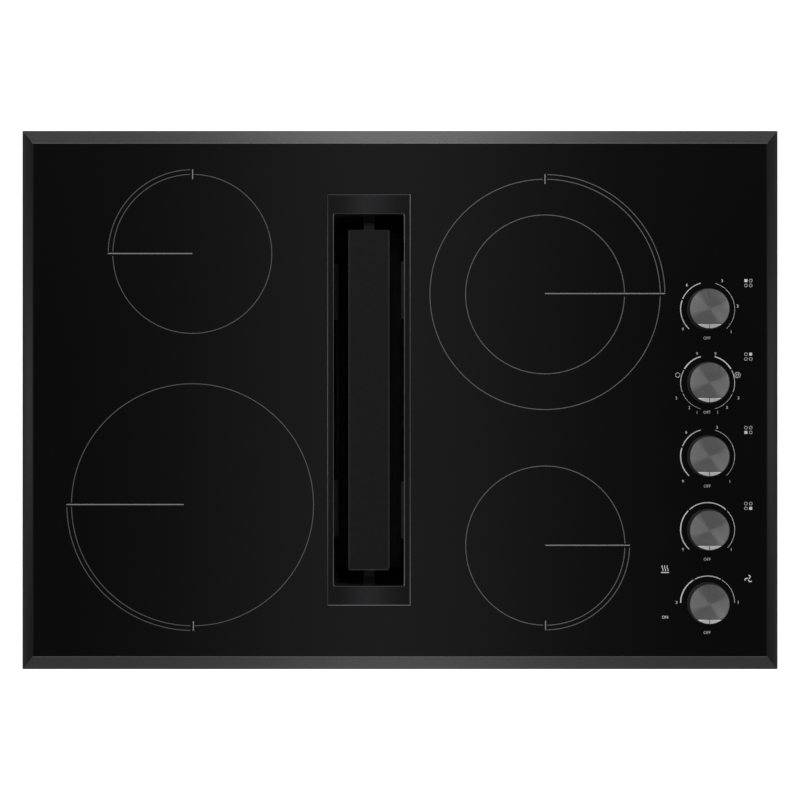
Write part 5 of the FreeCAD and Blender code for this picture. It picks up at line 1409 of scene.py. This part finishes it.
class COOKTOP_OT_fasteners(Operator):
    """Sheet-metal screws with washer heads, and clamp screws with a cut thread"""
    bl_idname = "cooktop.fasteners"
    bl_label = "Fasteners"

    screw_around = 24
    clamp_around = 32
    rings_per_turn = 5

    def execute(self, context):
        screws = [self.screw(points) for points in solids_of("screws")]
        steel = plain_steel("screw", 0.62, 0.32, 0.15)
        piece("washer_head_screws", together(screws), steel, stands_for=["screws"])
        clamps = [self.clamp(points) for points in solids_of("clamp_screws")]
        steel = plain_steel("clamp", 0.60, 0.34, 0.2)
        piece("threaded_clamps", together(clamps), steel, stands_for=["clamp_screws"])
        return {"FINISHED"}

    def screw(self, points):
        """Hexagon with a domed top on a round washer, then a shank: rings about the screw's own axis, whose
        radius follows a hexagon on the head and a circle elsewhere."""
        low = points.min(axis=0)
        high = points.max(axis=0)
        axis = int(np.argmax(high - low))
        middle = (low + high) / 2
        away = np.linalg.norm(np.delete(points - middle, axis, axis=1), axis=1)
        head_side = 1 if points[away > away.max() * 0.9][:, axis].mean() > middle[axis] else -1
        top = high[axis] if head_side > 0 else low[axis]
        long = high[axis] - low[axis]
        r = away.max()
        s = settings("screws")
        angle = np.arange(self.screw_around) * FULL_TURN / self.screw_around
        hexagon = self.hexagon(angle)
        seat = s.head - s.washer
        # Depth below the top, share of the head's radius, and 1 where the ring is a hexagon
        rows = [(0, 0.45, 0), (s.edge, 0.66, 0), (s.dome, 0.8, 1), (seat - s.edge, 0.8, 1), (seat, 0.99, 0),
                (s.head - s.edge, 0.99, 0), (s.head, 0.5, 0), (long - s.tip, 0.5, 0), (long, 0.12, 0)]
        rings = []
        for depth, share, six in rows:
            reach = r * share * (hexagon if six else 1.0) * np.ones_like(angle)
            ring = np.empty((len(angle), 3))
            ring[:, axis] = top - head_side * depth
            ring[:, (axis + 1) % 3] = middle[(axis + 1) % 3] + reach * np.cos(angle)
            ring[:, (axis + 2) % 3] = middle[(axis + 2) % 3] + reach * np.sin(angle)
            rings.append(ring)
        return loft(np.stack(rings))

    def hexagon(self, angle):
        """Distance from the middle of a hexagon to its side at an angle, over its corner radius: cos 30 over
        the cosine of the angle to the nearest side's middle."""
        return math.cos(math.pi / 6) / np.cos((angle + math.pi / 6) % (math.pi / 3) - math.pi / 6)

    def clamp(self, points):
        """Thread: the radius at a height and angle dips with the distance to the helix, height over pitch
        minus angle over a full turn. The head below is the hexagon, and the point above is plain."""
        s = settings("screws")
        low = points.min(axis=0)
        high = points.max(axis=0)
        x, y = ((low + high) / 2)[:2]
        head_top = low[2] + s.clamp_head
        angle = np.arange(self.clamp_around) * FULL_TURN / self.clamp_around
        hexagon = self.hexagon(angle)
        point = high[2] - s.point
        rows = [(low[2], s.clamp_head_r * 0.86), (low[2] + s.clamp_edge, s.clamp_head_r * 0.98 * hexagon),
                (head_top - s.clamp_edge / 2, s.clamp_head_r * 0.98 * hexagon),
                (head_top, s.clamp_head_r * 0.9)]
        for z in np.arange(head_top, point, s.thread_pitch / self.rings_per_turn):
            phase = ((z - head_top) / s.thread_pitch - angle / FULL_TURN) % 1.0
            rows.append((z, s.clamp_r - s.thread_depth * np.abs(2 * phase - 1)))
        rows += [(point, s.point_r), (high[2] - s.point_edge, s.point_r), (high[2], s.point_r - s.point_edge)]
        rings = []
        for z, reach in rows:
            level = np.full(len(angle), z)
            rings.append(np.stack([x + reach * np.cos(angle), y + reach * np.sin(angle), level], axis=-1))
        return loft(np.stack(rings))


class COOKTOP_OT_stage(Operator):
    """Pale floor, soft studio light and a camera straight above"""
    bl_idname = "cooktop.stage"
    bl_label = "Stage"

    # Each soft box: where it hangs, its width and height, and its power
    lights = {
        "rear_box": ((0.0, 2.35, 1.85), (0.4, 0.8), 3.4),
        "front_box": ((0.0, -2.35, 1.85), (0.3, 0.8), 1.2),
        "left_box": ((-2.6, 0.0, 1.7), (0.3, 0.8), 0.55),
        "right_box": ((2.6, 0.0, 1.7), (0.3, 0.8), 0.55),
        "rear_left_key": ((-2.0, 2.0, 1.9), (0.9, 0.9), 26.0),
        "rear_right_key": ((2.0, 2.0, 1.9), (0.9, 0.9), 26.0),
    }

    # Level of the sky at steps of the direction's Z
    sky_stops = ((0.0, 0.95), (0.25, 0.66), (0.42, 0.24), (0.58, 0.06), (0.8, 0.05), (0.97, 0.06))
    # Strip overhead: how far it hangs to the left, its spread, the Z where it starts, and its level
    strip_left = 0.004
    strip_spread = 0.04
    strip_from = 0.9
    strip_level = 0.22
    # Walls at the front and the rear: what favours the rear, and their level
    rear_share = 0.1
    wall_level = 1.1

    def execute(self, context):
        stage = settings("stage")
        self.floor(stage)
        for name, (place, area, power) in self.lights.items():
            self.light(name, place, area, power)
        self.sky()
        self.camera(stage)
        context.scene.view_settings.view_transform = "Standard"
        context.scene.view_settings.look = "None"
        return {"FINISHED"}

    def floor(self, stage):
        """Square slab under the lowest point, shining a little of its own so that it stays pale."""
        half = stage.floor_width / 2
        z = CAD_BOX[0].z - stage.floor_gap
        ring = [(-half, -half), (half, -half), (half, half), (-half, half)]
        rings = [[(x, y, level) for x, y in ring] for level in (z - stage.floor_depth, z)]
        vertices, faces = loft(np.array(rings))
        mesh = bpy.data.meshes.new("floor")
        mesh.from_pydata(vertices.tolist(), [], faces)
        f = Finish("pale_floor", stage.floor_level, 0.85, 0.0, 0.2)
        f.tones(f.noise(1.5, 2), 0.99, 1.01)
        f.set("Emission Color", opaque(stage.floor_level))
        f.set("Emission Strength", 0.95)
        mesh.materials.append(f.material)
        floor = bpy.data.objects.new("floor", mesh)
        bpy.context.scene.collection.objects.link(floor)

    def light(self, name, place, area, power):
        """Rectangular soft box that faces the middle."""
        data = bpy.data.lights.new(name, "AREA")
        data.shape = "RECTANGLE"
        data.size, data.size_y = area
        data.energy = power
        lamp = bpy.data.objects.new(name, data)
        bpy.context.scene.collection.objects.link(lamp)
        lamp.location = place
        lamp.rotation_euler = (-Vector(place)).to_track_quat("-Z", "Y").to_euler()

    def sky(self):
        """Soft surround: bright near the horizon, falling off overhead, where a long dim strip hangs
        along Y; its level falls with the square of the direction's X over the strip's spread. The front
        and the rear are brighter by a share of Y times the sum of Y and the rear's share."""
        world = bpy.data.worlds.new("studio")
        bpy.context.scene.world = world
        world.use_nodes = True
        tree = world.node_tree
        way = tree.nodes.new("ShaderNodeTexCoord").outputs["Generated"]
        parts = tree.nodes.new("ShaderNodeSeparateXYZ")
        tree.links.new(way, parts.inputs[0])
        ramp = tree.nodes.new("ShaderNodeValToRGB")
        tree.links.new(parts.outputs["Z"], ramp.inputs["Fac"])
        while len(ramp.color_ramp.elements) < len(self.sky_stops):
            ramp.color_ramp.elements.new(0.5)
        for element, (at, level) in zip(ramp.color_ramp.elements, self.sky_stops):
            element.position = at
            element.color = (level, level, level * 1.01, 1)
        side = calc(tree, "ADD", parts.outputs["X"], self.strip_left)
        square = calc(tree, "POWER", calc(tree, "DIVIDE", side, self.strip_spread), 2.0)
        fall = calc(tree, "POWER", math.e, calc(tree, "MULTIPLY", square, -1.0))
        above = calc(tree, "GREATER_THAN", parts.outputs["Z"], self.strip_from)
        strip = calc(tree, "MULTIPLY", calc(tree, "MULTIPLY", fall, above), self.strip_level)
        rearward = calc(tree, "ADD", parts.outputs["Y"], self.rear_share)
        walls = calc(tree, "MAXIMUM", calc(tree, "MULTIPLY", parts.outputs["Y"], rearward), 0.0)
        walls = calc(tree, "MULTIPLY", walls, self.wall_level)
        strip = calc(tree, "ADD", strip, walls)
        total = tree.nodes.new("ShaderNodeMix")
        total.data_type = "RGBA"
        total.blend_type = "ADD"
        total.inputs["Factor"].default_value = 1.0
        tree.links.new(ramp.outputs["Color"], total.inputs[6])
        tree.links.new(strip, total.inputs[7])
        tree.links.new(total.outputs[2], tree.nodes["Background"].inputs["Color"])

    def camera(self, stage):
        """Straight above the middle. The lens is the sensor's width times the distance to the glass, over the
        width seen there."""
        data = bpy.data.cameras.new("camera")
        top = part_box("glass_top")[1].z
        data.sensor_width = 36.0
        data.lens = data.sensor_width * (stage.camera_height - top) / stage.view_width
        data.clip_end = 100.0
        camera = bpy.data.objects.new("camera", data)
        bpy.context.scene.collection.objects.link(camera)
        camera.location = (0, 0, stage.camera_height)
        bpy.context.scene.camera = camera


class COOKTOP_PT_panel(Panel):
    """Lists the cooktop's operators and settings in the sidebar"""
    bl_idname = "COOKTOP_PT_panel"
    bl_label = "Cooktop"
    bl_space_type = "VIEW_3D"
    bl_region_type = "UI"
    bl_category = "Cooktop"

    def draw(self, context):
        for operator in OPERATORS:
            self.layout.operator(operator.bl_idname)
        for name in GROUPS:
            box = self.layout.box()
            group = getattr(context.scene, "cooktop_" + name)
            for key in group.__annotations__:
                box.prop(group, key)


OPERATORS = (
    COOKTOP_OT_glass, COOKTOP_OT_trim_rails, COOKTOP_OT_zone_prints, COOKTOP_OT_dial_prints, COOKTOP_OT_vent,
    COOKTOP_OT_filter, COOKTOP_OT_knobs, COOKTOP_OT_burner_box, COOKTOP_OT_elements, COOKTOP_OT_switches,
    COOKTOP_OT_blower, COOKTOP_OT_fasteners, COOKTOP_OT_stage,
)
GROUPS = {"prints": CooktopPrints, "metalwork": CooktopMetalwork, "screws": CooktopScrews,
          "knobs": CooktopKnobs, "colours": CooktopColours, "stage": CooktopStage}


def register():
    for group in GROUPS.values():
        bpy.utils.register_class(group)
    for operator in OPERATORS:
        bpy.utils.register_class(operator)
    bpy.utils.register_class(COOKTOP_PT_panel)
    for name, group in GROUPS.items():
        setattr(bpy.types.Scene, "cooktop_" + name, PointerProperty(type=group))


def unregister():
    for name in GROUPS:
        delattr(bpy.types.Scene, "cooktop_" + name)
    bpy.utils.unregister_class(COOKTOP_PT_panel)
    for operator in reversed(OPERATORS):
        bpy.utils.unregister_class(operator)
    for group in GROUPS.values():
        bpy.utils.unregister_class(group)


def main():
    register()
    bpy.ops.cooktop.glass()
    bpy.ops.cooktop.trim_rails()
    bpy.ops.cooktop.zone_prints()
    bpy.ops.cooktop.dial_prints()
    bpy.ops.cooktop.vent()
    bpy.ops.cooktop.filter()
    bpy.ops.cooktop.knobs()
    bpy.ops.cooktop.burner_box()
    bpy.ops.cooktop.elements()
    bpy.ops.cooktop.switches()
    bpy.ops.cooktop.blower()
    bpy.ops.cooktop.fasteners()
    bpy.ops.cooktop.stage()


if __name__ == "__main__":
    main()
